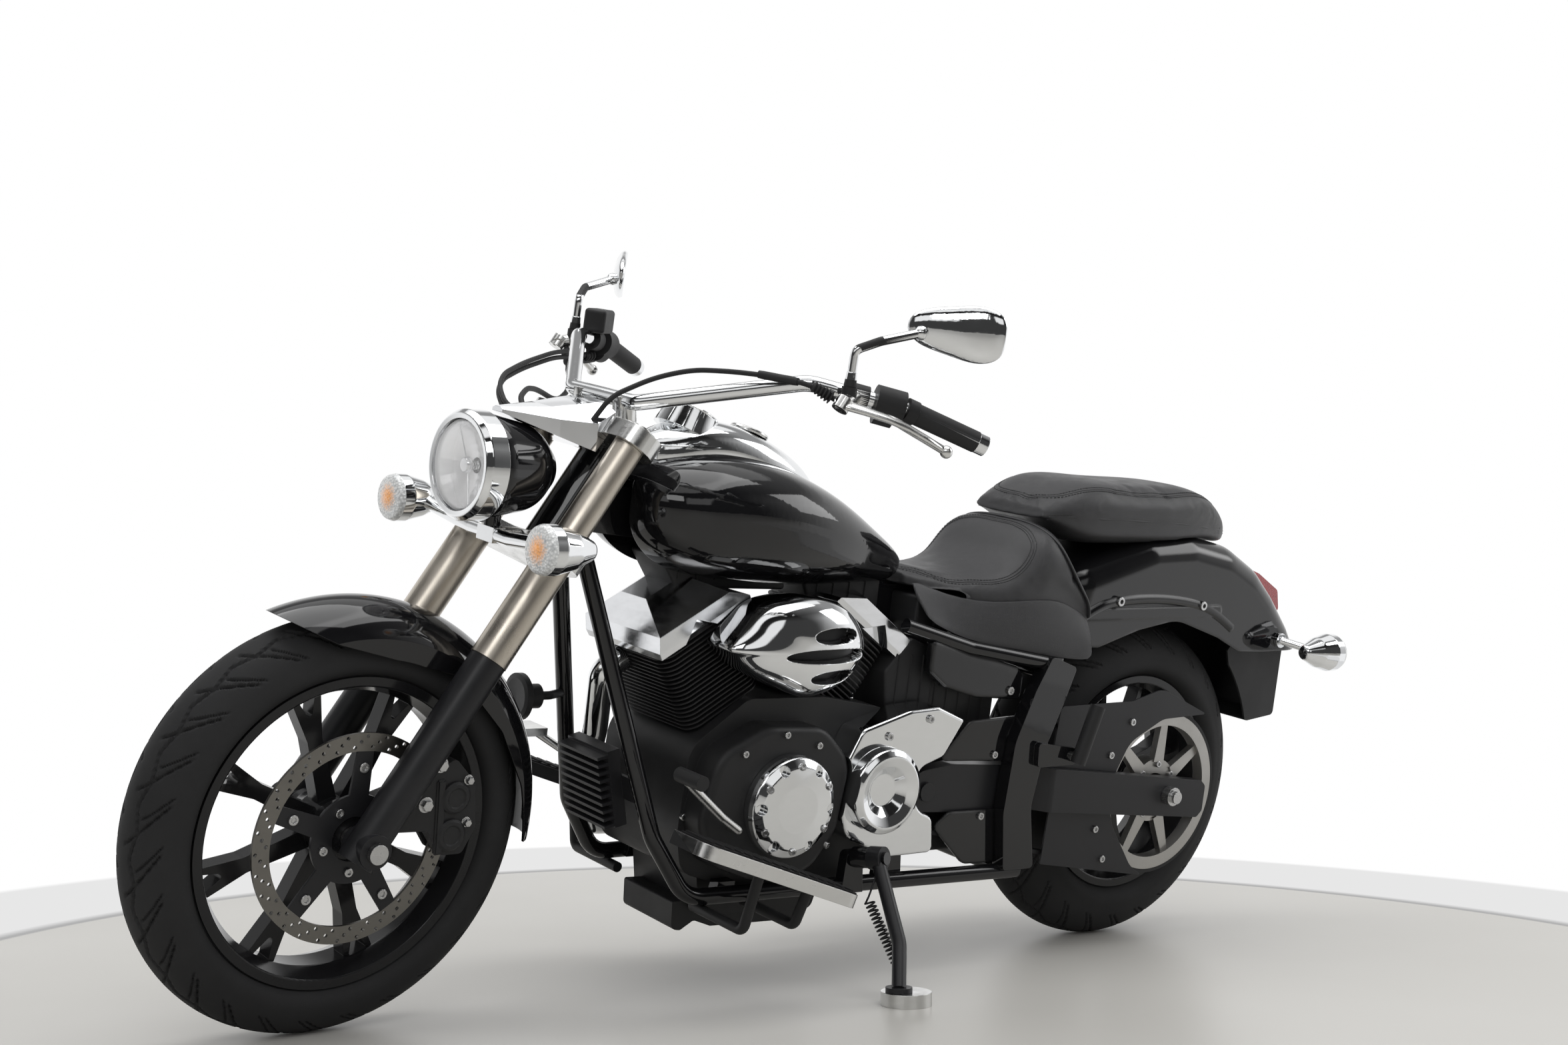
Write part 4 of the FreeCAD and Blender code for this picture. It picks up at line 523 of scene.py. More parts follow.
def cord(name, points, radius, finish, body="chassis", straight=False, closed=False):
    """A round cord through points in the frame, in straight runs or one smooth curve."""
    curve = bpy.data.curves.new(name, "CURVE")
    curve.dimensions = "3D"
    curve.bevel_depth, curve.bevel_resolution = radius, 3 if straight else 4
    curve.resolution_u = 8
    curve.use_fill_caps = not straight
    line = curve.splines.new("POLY" if straight else "NURBS")
    line.points.add(len(points) - 1)
    for spot, at in zip(line.points, points):
        spot.co = (*at, 1)
    if not straight:
        line.order_u, line.use_endpoint_u = 3, True
    line.use_cyclic_u = closed
    curve.materials.append(finish)
    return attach(linked(name, curve), body)


# Tyres with cut tread
TYRE_WALL, TYRE_RIM_GAP, TREAD_CUT = 9.0, 6.0, 4.0
TYRE_TURNS, TYRE_ACROSS, TREAD_RADIUS = 720, 64, 320


def tyre_profile(radius, crown, bead, half_width, slope):
    """The closed outline of a tyre as (radius, left), from the crown's right edge round to it again."""

    def arc(crown, angles):
        return np.stack([base + crown * np.cos(angles), crown * np.sin(angles)], 1)

    def wall(steps, inset):
        """Points up a side wall, between the lip and the shoulder."""
        low, high = np.array((lip, outer - inset)), shoulder - (inset * 0.4, inset)
        peak = np.array(((bead + shoulder[0]) / 2, shoulder[1] + 1 - inset))
        control = 2 * peak - (low + high) / 2
        t = np.arange(1, steps)[:, None] / steps
        return (1 - t) ** 2 * low + 2 * t * (1 - t) * control + t * t * high

    base, outer, lip = radius - crown, half_width - TYRE_RIM_GAP, bead + 10
    points = arc(crown, slope)
    shoulder = points[-1]
    foot = [(lip, outer), (bead, outer), (bead, outer - TYRE_WALL), (lip, outer - TYRE_WALL)]
    left = np.concatenate([wall(8, 0)[::-1], foot, wall(5, TYRE_WALL)])
    inner = arc(crown - TYRE_WALL, np.linspace(slope[-1], slope[0], 9))
    return np.concatenate([points, left, inner, left[::-1] * (1, -1)])


def tread_depth(turn, across, pitches, width, centre):
    """How deep the tread is cut at a place on the crown, from 0 to 1."""
    reach = np.abs(across)
    depth = np.zeros_like(reach)
    pitch = turn * pitches / FULL_TURN + np.where(across >= 0, 0.0, 0.5)
    for start, stop, slant, offset, wide in (
        (centre, width, 0.95, 0.0, 2.5), (width * 0.42, width * 1.02, 0.62, 0.52, 1.8),
    ):
        line = offset + slant * np.clip((reach - start) / (stop - start), 0, 1) ** 1.35
        away = np.abs((pitch - line + 0.5) % 1.0 - 0.5) * (FULL_TURN * TREAD_RADIUS / pitches)
        edge = np.clip((wide - away) / 1.4 + 0.5, 0, 1)
        ends = np.clip((reach - start) / 4, 0, 1) * np.clip((stop - reach) / 4, 0, 1)
        depth = np.maximum(depth, edge * ends)
    wave = np.abs((pitch - 0.25) % 1.0 * 2 - 1)
    away = np.abs(reach - width * (0.30 + 0.13 * wave))
    return np.maximum(depth, np.clip((2.0 - away) / 1.2 + 0.5, 0, 1) * 0.8)


def tyre(name, body, hub, radius, crown, bead, half_width, crown_degrees, pitches, centre):
    slope = np.radians(crown_degrees) * np.linspace(-1, 1, TYRE_ACROSS + 1)
    outline = tyre_profile(radius, crown, bead, half_width, slope)
    turn = np.linspace(0, FULL_TURN, TYRE_TURNS, endpoint=False)
    around, arc = np.meshgrid(turn, crown * slope, indexing="ij")
    cut = TREAD_CUT * tread_depth(around, arc, pitches, arc.max() * 0.86, centre)
    radii, lefts = (np.repeat(outline[None, :, k], TYRE_TURNS, 0) for k in (0, 1))
    radii[:, : TYRE_ACROSS + 1] -= cut * np.cos(slope)
    lefts[:, : TYRE_ACROSS + 1] -= cut * np.sin(slope)
    local = np.stack([radii * np.cos(turn)[:, None], lefts, radii * np.sin(turn)[:, None]], -1)
    matrix = np.array(hub)
    points = local.reshape(-1, 3) @ matrix[:3, :3].T + matrix[:3, 3]
    count = len(outline)
    i, j = np.meshgrid(np.arange(TYRE_TURNS), np.arange(count), indexing="ij")
    i2, j2 = (i + 1) % TYRE_TURNS, (j + 1) % count
    faces = np.stack([i * count + j, i * count + j2, i2 * count + j2, i2 * count + j], -1).reshape(-1, 4)
    mesh = bpy.data.meshes.new(name)
    mesh.from_pydata(points.tolist(), [], faces.tolist())
    mesh.update()
    piece = shown(name, mesh, tyre_rubber, body, 40.0)
    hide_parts(name.replace("_treaded", ""))


tyre("front_tyre_treaded", "front_wheel", FRONT_HUB, FRONT_RADIUS, 62, 229, 52, 75, 26, 7)
tyre("rear_tyre_treaded", "rear_wheel", REAR_HUB, REAR_RADIUS, 82, 204, 68, 80, 24, 9)


# Drilled brake discs
HOLE, CIRCLE_STEP = 3.1, 8


def drilled(name, node, body, hub, offset, first_circle, count, finish):
    """A copy of a disc with three circles of holes cut through, on a coated carrier."""
    cutters = bmesh.new()
    for row in range(3):
        radius = first_circle + CIRCLE_STEP * row
        for i in range(count):
            a = FULL_TURN * (i + 0.33 * row) / count
            at = hub @ shift((radius * cos(a), offset, radius * sin(a))) @ rotated(90, "X")
            bmesh.ops.create_cone(
                cutters, cap_ends=True, segments=12, radius1=HOLE, radius2=HOLE, depth=14, matrix=at
            )
    mesh = bpy.data.meshes.new(name + "_holes")
    cutters.to_mesh(mesh)
    cutters.free()
    tool = linked(name + "_holes", mesh)
    piece = linked(name, nodes[node].data.copy())
    modify(piece, "BOOLEAN", object=tool, operation="DIFFERENCE", solver="EXACT")
    apply_modifiers(piece)
    bpy.data.objects.remove(tool)
    piece.data.materials.clear()
    for metal in (finish, coat):
        piece.data.materials.append(metal)
    back = hub.inverted()
    for face in piece.data.polygons:
        at = back @ face.center
        face.material_index = int(hypot(at.x, at.z) < first_circle - CIRCLE_STEP)
        face.use_smooth = False
    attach(piece, body)
    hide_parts(node)


drilled("front_disc_drilled", "front_disc", "front_wheel", FRONT_HUB, 72, 139, 30, disc_metal)
drilled("rear_disc_drilled", "rear_disc", "rear_wheel", REAR_HUB, -112, 128, 28, rear_disc_metal)


# Screws
def wheel_screws(name, body, hub, circles):
    """Screw heads in circles on a wheel: (radius, left, count, phase, head radius, height, side)."""
    form = bmesh.new()
    for radius, left, count, phase, head, height, side in circles:
        for i in range(count):
            a = radians(phase) + FULL_TURN * i / count
            at = hub @ Vector((radius * cos(a), left, radius * sin(a)))
            cap_screw(form, facing(at, toward((0, side, 0), hub)) @ MM, head, height)
    from_bmesh(name, form, bolt_steel, body)


wheel_screws(
    "front_disc_screws", "front_wheel", FRONT_HUB, ((108, 74.5, 5, 20, 8, 4, 1), (50, 74.5, 5, 56, 7, 5, 1)),
)
wheel_screws(
    "rear_wheel_screws", "rear_wheel", REAR_HUB,
    ((52, 134.5, 7, 41, 6.5, 6, 1), (50, -114.5, 5, 56, 7, 5, -1), (100, -114.5, 5, 20, 8, 4, -1)),
)

# Screws seated on nodes: head radius, head height, sides and (x, z) spots
CHASSIS_SCREWS = (
    ("belt_guards", 7, 5, (1,), ((110, 465), (158, 402), (175, 260), (145, 200))),
    ("side_covers", 7, 5, (1,), ((468, 415), (483, 303))),
    ("side_covers", 8, 5, (1,), ((440, 530),)),
    ("rear_fender", 9, 11, (1, -1), ((155, 692), (-85, 686))),
    ("sprocket_cover", 7, 5, (1,), ((655, 490), (745, 462))),
    ("crank_covers", 6.5, 4, (1,), [
        (950 + 71 * cos(a), 353 + 71 * sin(a)) for a in (radians(30 + 60 * i) for i in range(6))
    ]),
    ("engine_cases", 6, 6, (1,), ((967, 471), (1049, 442), (1114, 390), (1118, 328), (896, 451), (853, 279))),
)
form = bmesh.new()
for node, radius, height, sides, spots in CHASSIS_SCREWS:
    for side in sides:
        for at, out in laid_from_side(node, spots, side):
            cap_screw(form, facing(at, out) @ MM, radius, height)
from_bmesh("chassis_screws", form, bolt_steel)

# Seats: upholstery swollen over foam, with piping and stitches
CLOTH_STEPS, SEAT_SHRINK, SEAT_SWELL = 20, 0.003, 0.006


def vertex_values(mesh, what):
    values = np.zeros(len(mesh.vertices) * 3)
    mesh.vertices.foreach_get(what, values)
    return values.reshape(-1, 3)


def cushion(name, node):
    """A soft seat grown from the frame's plain solid."""
    piece = linked(name, nodes[node].data.copy())
    piece.data.materials.clear()
    modify(piece, "WELD", merge_threshold=0.0002)
    modify(piece, "REMESH", mode="VOXEL", voxel_size=0.0065)
    modify(piece, "SMOOTH", factor=0.5, iterations=5)
    modify(piece, "DISPLACE", strength=-SEAT_SHRINK, mid_level=0.0)
    apply_modifiers(piece)
    rest, normals = (vertex_values(piece.data, what) for what in ("co", "normal"))
    cloth = modify(piece, "CLOTH")
    cloth.settings.use_pressure = True
    cloth.settings.uniform_pressure_force = 4.0
    cloth.settings.effector_weights.gravity = 0.0
    cloth.settings.quality = 4
    cloth.point_cache.frame_start, cloth.point_cache.frame_end = 1, CLOTH_STEPS
    for step in range(1, CLOTH_STEPS + 1):
        scene.frame_set(step)
    apply_modifiers(piece)
    scene.frame_set(1)
    moved = vertex_values(piece.data, "co") - rest
    size = np.linalg.norm(moved, axis=1, keepdims=True)
    moved *= np.minimum(1.0, SEAT_SWELL / np.maximum(size, 1e-9))
    moved *= np.clip(normals @ np.array(toward((0, 0, 1))) * 2.0 + 1.1, 0, 1)[:, None]
    piece.data.vertices.foreach_set("co", (rest + moved).ravel())
    piece.data.update()
    piece.data.polygons.foreach_set("use_smooth", [True] * len(piece.data.polygons))
    modify(piece, "SUBSURF", levels=1, render_levels=1)
    piece.data.materials.append(leather)
    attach(piece, "chassis")
    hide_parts(node)
    graph = bpy.context.evaluated_depsgraph_get()
    trees[name] = mesh_tree(piece.evaluated_get(graph).to_mesh())


WELT_RADIUS, STITCH_SIZE, STITCH_STEP, STITCH_ASIDE = 0.0016, (0.0042, 0.0011, 0.0011), 0.0064, 0.0048


def seam(name, laid, closed=True):
    """A welt along a laid line with a row of stitches on each side of it."""
    line = [at - normal * WELT_RADIUS * 0.35 for at, normal in laid]
    cord(name, line, WELT_RADIUS, leather, straight=True, closed=closed)
    form = bmesh.new()
    carried = 0.0
    for (a, normal), (b, _) in zip(laid, laid[1:] + laid[:1] if closed else laid[1:]):
        run = (b - a).length
        if run < 1e-6 or run > 0.06:
            continue
        along = (b - a) / run
        aside = along.cross(normal).normalized()
        turn = Matrix((along, aside, normal)).transposed().to_4x4()
        while carried < run:
            for side in (-1, 1):
                at = a + along * carried + aside * STITCH_ASIDE * side + normal * 0.0002
                block(form, shift(at) @ turn, STITCH_SIZE)
            carried += STITCH_STEP
        carried -= run
    from_bmesh(name + "_stitches", form, thread, smooth=None)


# Half of each seat's seam from its middle in front to its middle at the back, and the height over it
SEAT_SEAMS = (
    ("rider_seat", 740, [
        (636, 0), (618, 46), (580, 82), (530, 106), (470, 122), (410, 126), (392, 100), (384, 50), (384, 0),
    ]),
    ("pillion_seat", 840, [
        (338, 0), (326, 70), (270, 96), (160, 102), (0, 97), (-90, 84), (-150, 56), (-172, 0),
    ]),
)
PILLION_BORDER = (
    (345, 842), (300, 846), (230, 846), (120, 846), (0, 844), (-90, 838), (-150, 832), (-185, 824),
)

cushion("rider_seat_cover", "rider_seat")
cushion("pillion_seat_cover", "pillion_seat")
for seat, height, half in SEAT_SEAMS:
    whole = half + [(x, -y) for x, y in half[-2:0:-1]]
    laid = laid_on(seat + "_cover", [(*at, height) for at in smooth_closed(whole)], (0, 0, -1))
    seam(seat + "_seam", laid)
for side, label in SIDES:
    seam("pillion_border_" + label, laid_from_side("pillion_seat_cover", PILLION_BORDER, side), closed=False)

# Raised rails on the rear fender's sides
FENDER_RAIL = ((262, 648), (220, 676), (155, 692), (60, 698), (-20, 695), (-85, 686), (-150, 664), (-190, 640))
for side, label in SIDES:
    laid = laid_from_side("rear_fender", FENDER_RAIL, side)
    cord("fender_rail_" + label, [at - out * 0.0045 for at, out in laid], 0.011, body_paint)

# The headlight: a clear dome over a fluted bowl and a shaded bulb
LAMP = STEERED @ shift((1534, 0, 868)) @ rotated(90, "Y")
outer = [(69.6, -30), (69.6, -3), (66, 2), (54, 6), (36, 9.5), (18, 11.4), (0, 12)]
inner = [(0, 9.4), (18, 8.8), (36, 7), (54, 3.4), (64, -1), (66.8, -4), (66.8, -30)]
dome = turned("headlight_glass", [*outer, *inner, outer[0]], LAMP, 64, glass, "steering")
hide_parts("headlight_lens")
bowl = [(r, -31 + 25 * (r / 66) ** 2) for r in (12, 22, 32, 42, 52, 60, 66)]
back = [(r, z - 1.2) for r, z in reversed(bowl)]
turned("headlight_bowl", [*bowl, *back, bowl[0]], LAMP, 28, reflector, "steering", 4.0)
turned("headlight_bulb", [(0, -31), (7, -31), (7, -16), (5, -10), (0, -8)], LAMP, 20, prism, "steering")
form = bmesh.new()
spin(form, [(0, -6.5), (10, -7), (13, -11), (13.5, -14), (12.5, -14), (12, -11), (0, -8)], LAMP, 28)
for a in (0.4, pi + 0.4):
    out = Vector((cos(a), sin(a), 0))
    start, stop = out * 13 + Vector((0, 0, -13)), out * 62 + Vector((0, 0, -7.5))
    long = (stop - start).length
    spin(form, [(0, 0), (1.4, 0), (1.4, long), (0, long)], LAMP @ facing(start, stop - start, "X"), 8)
from_bmesh("headlight_shade", form, chrome, "steering")

# Other finishes on parts of nodes: the tests' limits are where the CAD has those faces
refinish("front_signals", front_lens, lambda at, out: at.x > 1511 and abs(at.y) > 160 and out.x > 0.05, STEERED)
refinish("rear_signals", rear_lens, lambda at, out: at.x < -424 and abs(at.y) > 150 and out.x < -0.05)
MIRROR_BACK, MIRROR_IN = 0.788, 0.616
refinish(
    "mirrors", mirror_glass,
    lambda at, out: out.x * -MIRROR_BACK + out.y * (-MIRROR_IN if at.y > 0 else MIRROR_IN) > 0.995, STEERED,
)
refinish(
    "mirrors", moulded,
    lambda at, out: at.z < 1078 or (1128 < at.z < 1150 and abs(at.y) < 400 and at.x > 1020), STEERED,
)


def near_line(points, radius):
    """A test for faces near a chain of straight runs, on either side of the machine."""
    chain = [Vector(p) for p in points]

    def wanted(at, out):
        at = Vector((at.x, abs(at.y), at.z))
        for a, b in zip(chain, chain[1:]):
            t = (at - a).dot(b - a) / (b - a).length_squared
            if (a.lerp(b, max(0.0, min(1.0, t))) - at).length < radius:
                return True
        return False

    return wanted


LEVER_PIVOT = (1118, 368, 1041)
refinish("bar_controls", polished, near_line((LEVER_PIVOT, (1049, 412, 1027), (971, 455, 990)), 15), STEERED)
refinish("bar_controls", polished, near_line(((1068, 345, 1053), LEVER_PIVOT), 14), STEERED)
refinish("grips", chrome, lambda at, out: abs(at.y) > 438 or at.x < 893, STEERED)
refinish("silencer", moulded, lambda at, out: out.x < -0.9 and -118 < at.x < -80)
BOARD_X, BOARD_Y, BOARD_Z = 1062, 236, 282  # the left footboard's middle
BOARD_TURN = rotated(-18.5, "Y")
BOARD_SLOPE = 0.3346
refinish(
    "footrests", polished,
    lambda at, out: abs(at.y) > 262 and abs(out.z) < 0.8
    and abs(at.z - BOARD_Z - BOARD_SLOPE * (at.x - BOARD_X)) < 13,
)
refinish("footrests", polished, lambda at, out: at.x < 420 and at.z < 430)
refinish("foot_controls", moulded, lambda at, out: at.z > 414 and at.y > 226)

# Ribbed rubber on both rider's boards
for side, label in SIDES:
    place = CHASSIS @ shift((BOARD_X, side * BOARD_Y, BOARD_Z)) @ BOARD_TURN
    form = bmesh.new()
    block(form, place @ shift((0, side * 47, 12.25)), (324, 78, 2.5))
    for i in range(16):
        block(form, place @ shift((-152 + i * 20.4, side * 47, 15)), (8, 70, 3))
    soften(form, form.verts, 0.0008, 2)
    from_bmesh("footboard_mat_" + label, form, soft_rubber)

# Dial and filler cap on the tank's spine
DIAL = CHASSIS @ facing((1106, 0, 974), (-14, 0, 34), "X")
DIAL_START, DIAL_SWEEP, DIAL_STEPS = 215, 250, 36
rim = [(45.5, -1), (46.5, 2), (45, 4), (42, 3.4), (41, 0.4), (41, -1)]
turned("dial_bezel", rim, DIAL, 64, chrome)
turned("dial_plate", [(0, 0.2), (41, 0.2), (41, 0.9), (0, 0.9)], DIAL, 48, dial_face)
form = bmesh.new()
for i in range(DIAL_STEPS + 1):
    long = 7 if i % 4 == 0 else 4
    turn = rotated(DIAL_START - i * DIAL_SWEEP / DIAL_STEPS, "Z")
    block(form, DIAL @ turn @ shift((36 - long / 2, 0, 1.1)), (long, 0.9, 0.4))
block(form, DIAL @ rotated(DIAL_START, "Z") @ shift((14, 0, 1.8)), (34, 1.1, 0.5))
spin(form, [(0, 2.2), (4, 2.0), (4, 1.2), (0, 1.2)], DIAL, 20)
from_bmesh("dial_marks", form, dial_mark, smooth=None)
cover = [(41, 3.0), (24, 3.9), (0, 4.4), (0, 3.6), (24, 3.1), (41, 2.2), (41, 3.0)]
turned("dial_glass", cover, DIAL, 48, glass)
form = bmesh.new()
cap = facing(*laid_on("tank_console", [(985, 0, 600)], (0, 0, -1))[0]) @ MM
spin(form, [(0, -1), (33, -1), (34, 2), (33, 5), (29, 6.5), (0, 7)], cap, 48)
spin(form, [(0, 6), (6, 6), (6, 8.5), (5, 9.5), (0, 9.5)], cap, 24)
from_bmesh("filler_cap", form, polished)

# The stand's spring: a coil with two hooked ends between the pivot and the leg
start, stop = Vector((800, 238, 196)), Vector((768, 296, 96))
way = stop - start
aside = way.cross(Vector((0, 1, 0))).normalized()
across = way.cross(aside).normalized()
coils, radius, steps = 17, 8.0, 12
points = [Vector((782, 228, 240)), start + Vector((0, 0, 14))]
for i in range(coils * steps + 1):
    t = i / (coils * steps)
    a = FULL_TURN * coils * t
    points.append(start + way * t + aside * (radius * cos(a)) + across * (radius * sin(a)))
points += [stop - Vector((2, -6, 12)), Vector((764, 306, 76))]
cord("stand_spring", [CHASSIS @ at for at in points], 0.0017, coat, "side_stand")

# Air cleaner with three open slots: outline and slots as (x, z), slots with their half height
COVER_X, COVER_Z, COVER_RINGS = 954, 616, 84
COVER_EDGE, COVER_DOME, COVER_BACK, SLOT_SINK = 178, 42, 110.5, 24
COVER_OUTLINE = (
    (1108, 618), (1073, 655), (1043, 682), (1005, 694), (945, 699), (885, 685), (848, 655), (833, 616),
    (848, 580), (890, 549), (948, 536), (1005, 552), (1061, 576), (1094, 603),
)
COVER_SLOTS = (((968, 641), (872, 645), 13), ((1020, 608), (834, 612), 12), ((962, 571), (862, 576), 12))


def slot_sink(x, z):
    """How far a point of the cover is sunk into a slot, from 0 to 1."""
    sink = 0.0
    for start, stop, high in COVER_SLOTS:
        way = Vector(stop) - Vector(start)
        spot = Vector((x, z)) - Vector(start)
        along = spot.dot(way) / way.length_squared
        if 0 < along < 1:
            reach = high * (4 * along * (1 - along)) ** 0.42
            aside = abs(spot.dot(Vector((-way.y, way.x)).normalized()))
            sink = max(sink, min(1.0, max(0.0, (reach - aside) / 2.6)))
    return sink


# A domed chrome cover whose slots are sunk to a black floor
loop = smooth_closed([(x - COVER_X, z - COVER_Z) for x, z in COVER_OUTLINE], 18)
turns = len(loop)
rows, dark = [], []
for t in (i / COVER_RINGS for i in range(1, COVER_RINGS + 1)):
    y = COVER_EDGE + COVER_DOME * (1 - t**2.6) ** 0.62
    spots = [(COVER_X + p.x * t, COVER_Z + p.y * t) for p in loop]
    sinks = [slot_sink(x, z) for x, z in spots]
    rows.append([(x, y - SLOT_SINK * sink, z) for (x, z), sink in zip(spots, sinks)])
    dark.append([sink > 0.55 for sink in sinks])
for y, scale in ((135, 1.0), (COVER_BACK, 0.97)):
    rows.append([(COVER_X + p.x * scale, y, COVER_Z + p.y * scale) for p in loop])
    dark.append([False] * turns)
heart = (COVER_X, COVER_EDGE + COVER_DOME - SLOT_SINK * slot_sink(COVER_X, COVER_Z), COVER_Z)
points = [CHASSIS @ Vector(at) for row in rows for at in row]
count = len(points)
points += [CHASSIS @ Vector(heart), CHASSIS @ Vector((COVER_X, COVER_BACK, COVER_Z))]
faces, shades = [], []
last = len(rows) - 1
for j in range(turns):
    k = (j + 1) % turns
    faces += [(count, j, k), (count + 1, last * turns + k, last * turns + j)]
    shades += [dark[0][j], True]
    for i in range(last):
        faces.append((i * turns + j, (i + 1) * turns + j, (i + 1) * turns + k, i * turns + k))
        shades.append(dark[i][j] and dark[i + 1][k])
mesh = bpy.data.meshes.new("air_cleaner_shell")
mesh.from_pydata(points, [], faces)
form = bmesh.new()
form.from_mesh(mesh)
for face, shade in zip(form.faces, shades):
    face.material_index = int(shade)
inlet = CHASSIS @ shift((945, -40, 608)) @ rotated(-90, "X")
spin(form, [(0, 0), (40, 0), (40, 151), (0, 151)], inlet, 32, 1)
piece = from_bmesh("air_cleaner_shell", form, [chrome, moulded], smooth=50.0)
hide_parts("air_cleaner")

# Leather aprons from the rider's seat down to the seat rails: (x, top, half width there, bottom)
APRON_STATIONS = (
    (648, 722, 57, 654), (610, 704, 90, 640), (560, 692, 120, 622), (500, 689, 140, 612), (430, 696, 152, 604),
    (370, 700, 152, 594), (325, 692, 148, 590), (285, 676, 144, 588), (254, 664, 141, 590),
)
APRON_THICK = 5.0
for side, label in SIDES:
    rows = []
    form = bmesh.new()
    for x, top, wide, low in APRON_STATIONS:
        rail = 128 + (695 - x) * 0.098
        outer = []
        for t in (i / 8 for i in range(9)):
            outer.append((x, side * (wide + (rail - wide) * t + 4 * sin(pi * t)), top + (low - top) * t))
        inner = [(x, y - side * APRON_THICK, z) for x, y, z in reversed(outer)]
        rows.append([form.verts.new(CHASSIS @ Vector(at)) for at in outer + inner])
    skin(form, rows)
    piece = from_bmesh("seat_apron_" + label, form, leather, smooth=50.0)
    modify(piece, "SUBSURF", levels=1, render_levels=1)

# The strap over the back edge of the rider's seat, from low on the left to the middle
BAND_HALF = [
    (240, 136, 660), (246, 139, 700), (266, 144, 728), (296, 146, 764), (326, 140, 800), (346, 120, 820),
    (352, 84, 830), (354, 40, 832), (354, 0, 832),
]
line = BAND_HALF + [(x, -y, z) for x, y, z in BAND_HALF[-2::-1]]
laid = [trees["rider_seat_cover"].find_nearest(CHASSIS @ Vector(at))[:2] for at in line]
form = bmesh.new()
rows = []
for i, (at, out) in enumerate(laid):
    way = (laid[min(i + 1, len(laid) - 1)][0] - laid[max(i - 1, 0)][0]).normalized()
    out = (out - way * out.dot(way)).normalized()
    rows.append(ring(form, at + out * 0.0005, way.cross(out) * 0.014, out * 0.0045, 16))
skin(form, rows)
piece = from_bmesh("seat_band", form, leather, smooth=60.0)
modify(piece, "SUBSURF", levels=2, render_levels=2)


def moulding(name, outline, right, left, ribs, finish=moulded):
    """A block with rounded edges from a side outline, with ribs standing on its left face."""
    form = bmesh.new()
    skin(form, [[form.verts.new((x, y, z)) for x, z in outline] for y in (right, left)])
    bmesh.ops.recalc_face_normals(form, faces=form.faces)
    soften(form, form.verts, 6.0, 3, 0.5)
    xs, zs = zip(*outline)
    for i in range(ribs):
        x = min(xs) + (max(xs) - min(xs)) * (i + 1) / (ribs + 1)
        middle = shift((x, left + 0.5, (max(zs) + min(zs)) / 2))
        soften(form, block(form, middle, (3, 3, (max(zs) - min(zs)) * 0.6)), 0.8, 2)
    bmesh.ops.transform(form, matrix=CHASSIS, verts=form.verts)
    from_bmesh(name, form, finish)


# Black boxes and ducts inside the frame's bay
moulding("battery_box", [(425, 560), (600, 575), (640, 640), (640, 690), (425, 690)], -92, 92, 4)
moulding("rear_tray", [(250, 655), (400, 600), (425, 600), (425, 690), (330, 745), (250, 735)], -90, 90, 3)
moulding("coil_cover", [(905, 690), (1130, 690), (1168, 742), (1120, 762), (905, 745)], -46, 46, 6)
moulding("rear_coil_cover", [(690, 650), (850, 672), (870, 712), (850, 735), (690, 722)], -44, 44, 4)
moulding("pivot_box", [(440, 440), (610, 440), (620, 560), (560, 580), (440, 560)], 15, 108, 5)
moulding("lower_box", [(440, 230), (620, 230), (620, 320), (440, 320)], 20, 110, 3)
moulding("harness_box", [(600, 470), (700, 470), (715, 560), (660, 620), (600, 600)], 20, 112, 3)
moulding("lower_duct", [(610, 250), (700, 240), (715, 470), (600, 470)], 30, 96, 2, cast)

# The front caliper's housings, bridge, pins and bolts, from the front hub
BRIDGE_TILT = 0.08
form = bmesh.new()
for x, z in ((-150, 2), (-151, 60)):
    housing = [(0, -3), (25, -3), (25, 5), (21, 8), (16, 8), (14, 6), (0, 6)]
    spin(form, housing, FRONT_HUB @ shift((x, 99, z)) @ rotated(-90, "X"), 40)
bridge = FRONT_HUB @ shift((-128, 99, 31)) @ Matrix.Rotation(BRIDGE_TILT, 4, "Y")
soften(form, block(form, bridge, (16, 10, 118)), 0.003, 3)
from_bmesh("front_caliper_housings", form, cast, "steering")
form = bmesh.new()
for x, z, radius in ((-101, 52, 9), (-119, 112, 9), (-176, 20, 6), (-171, 86, 6)):
    hex_head(form, FRONT_HUB @ shift((x, 100, z)) @ rotated(-90, "X"), radius, 9)
from_bmesh("front_caliper_bolts", form, bolt_steel, "steering")

# Flat hand levers: (x, distance to the side, z, half width)
LEVER_LINE = (
    (1126, 360, 1041, 9), (1112, 374, 1040, 14), (1090, 390, 1036, 13.5), (1060, 408, 1029, 11),
    (1030, 425, 1019, 9.5), (1002, 440, 1006, 8), (978, 452, 994, 7.5),
)
LEVER_UP, LEVER_HALF_THICK = Vector((0.42, 0, 0.91)).normalized(), 7.2
form = bmesh.new()
for side in (1, -1):
    line = [Vector((x, side * y, z)) for x, y, z, _ in LEVER_LINE]
    rows = []
    for i, at in enumerate(line):
        way = line[min(i + 1, len(line) - 1)] - line[max(i - 1, 0)]
        aside = way.cross(LEVER_UP).normalized() * LEVER_LINE[i][3]
        rows.append(ring(form, at, aside, LEVER_UP * LEVER_HALF_THICK, 20, STEERED))
    skin(form, rows)
from_bmesh("lever_blades", form, polished, "steering", 60.0)

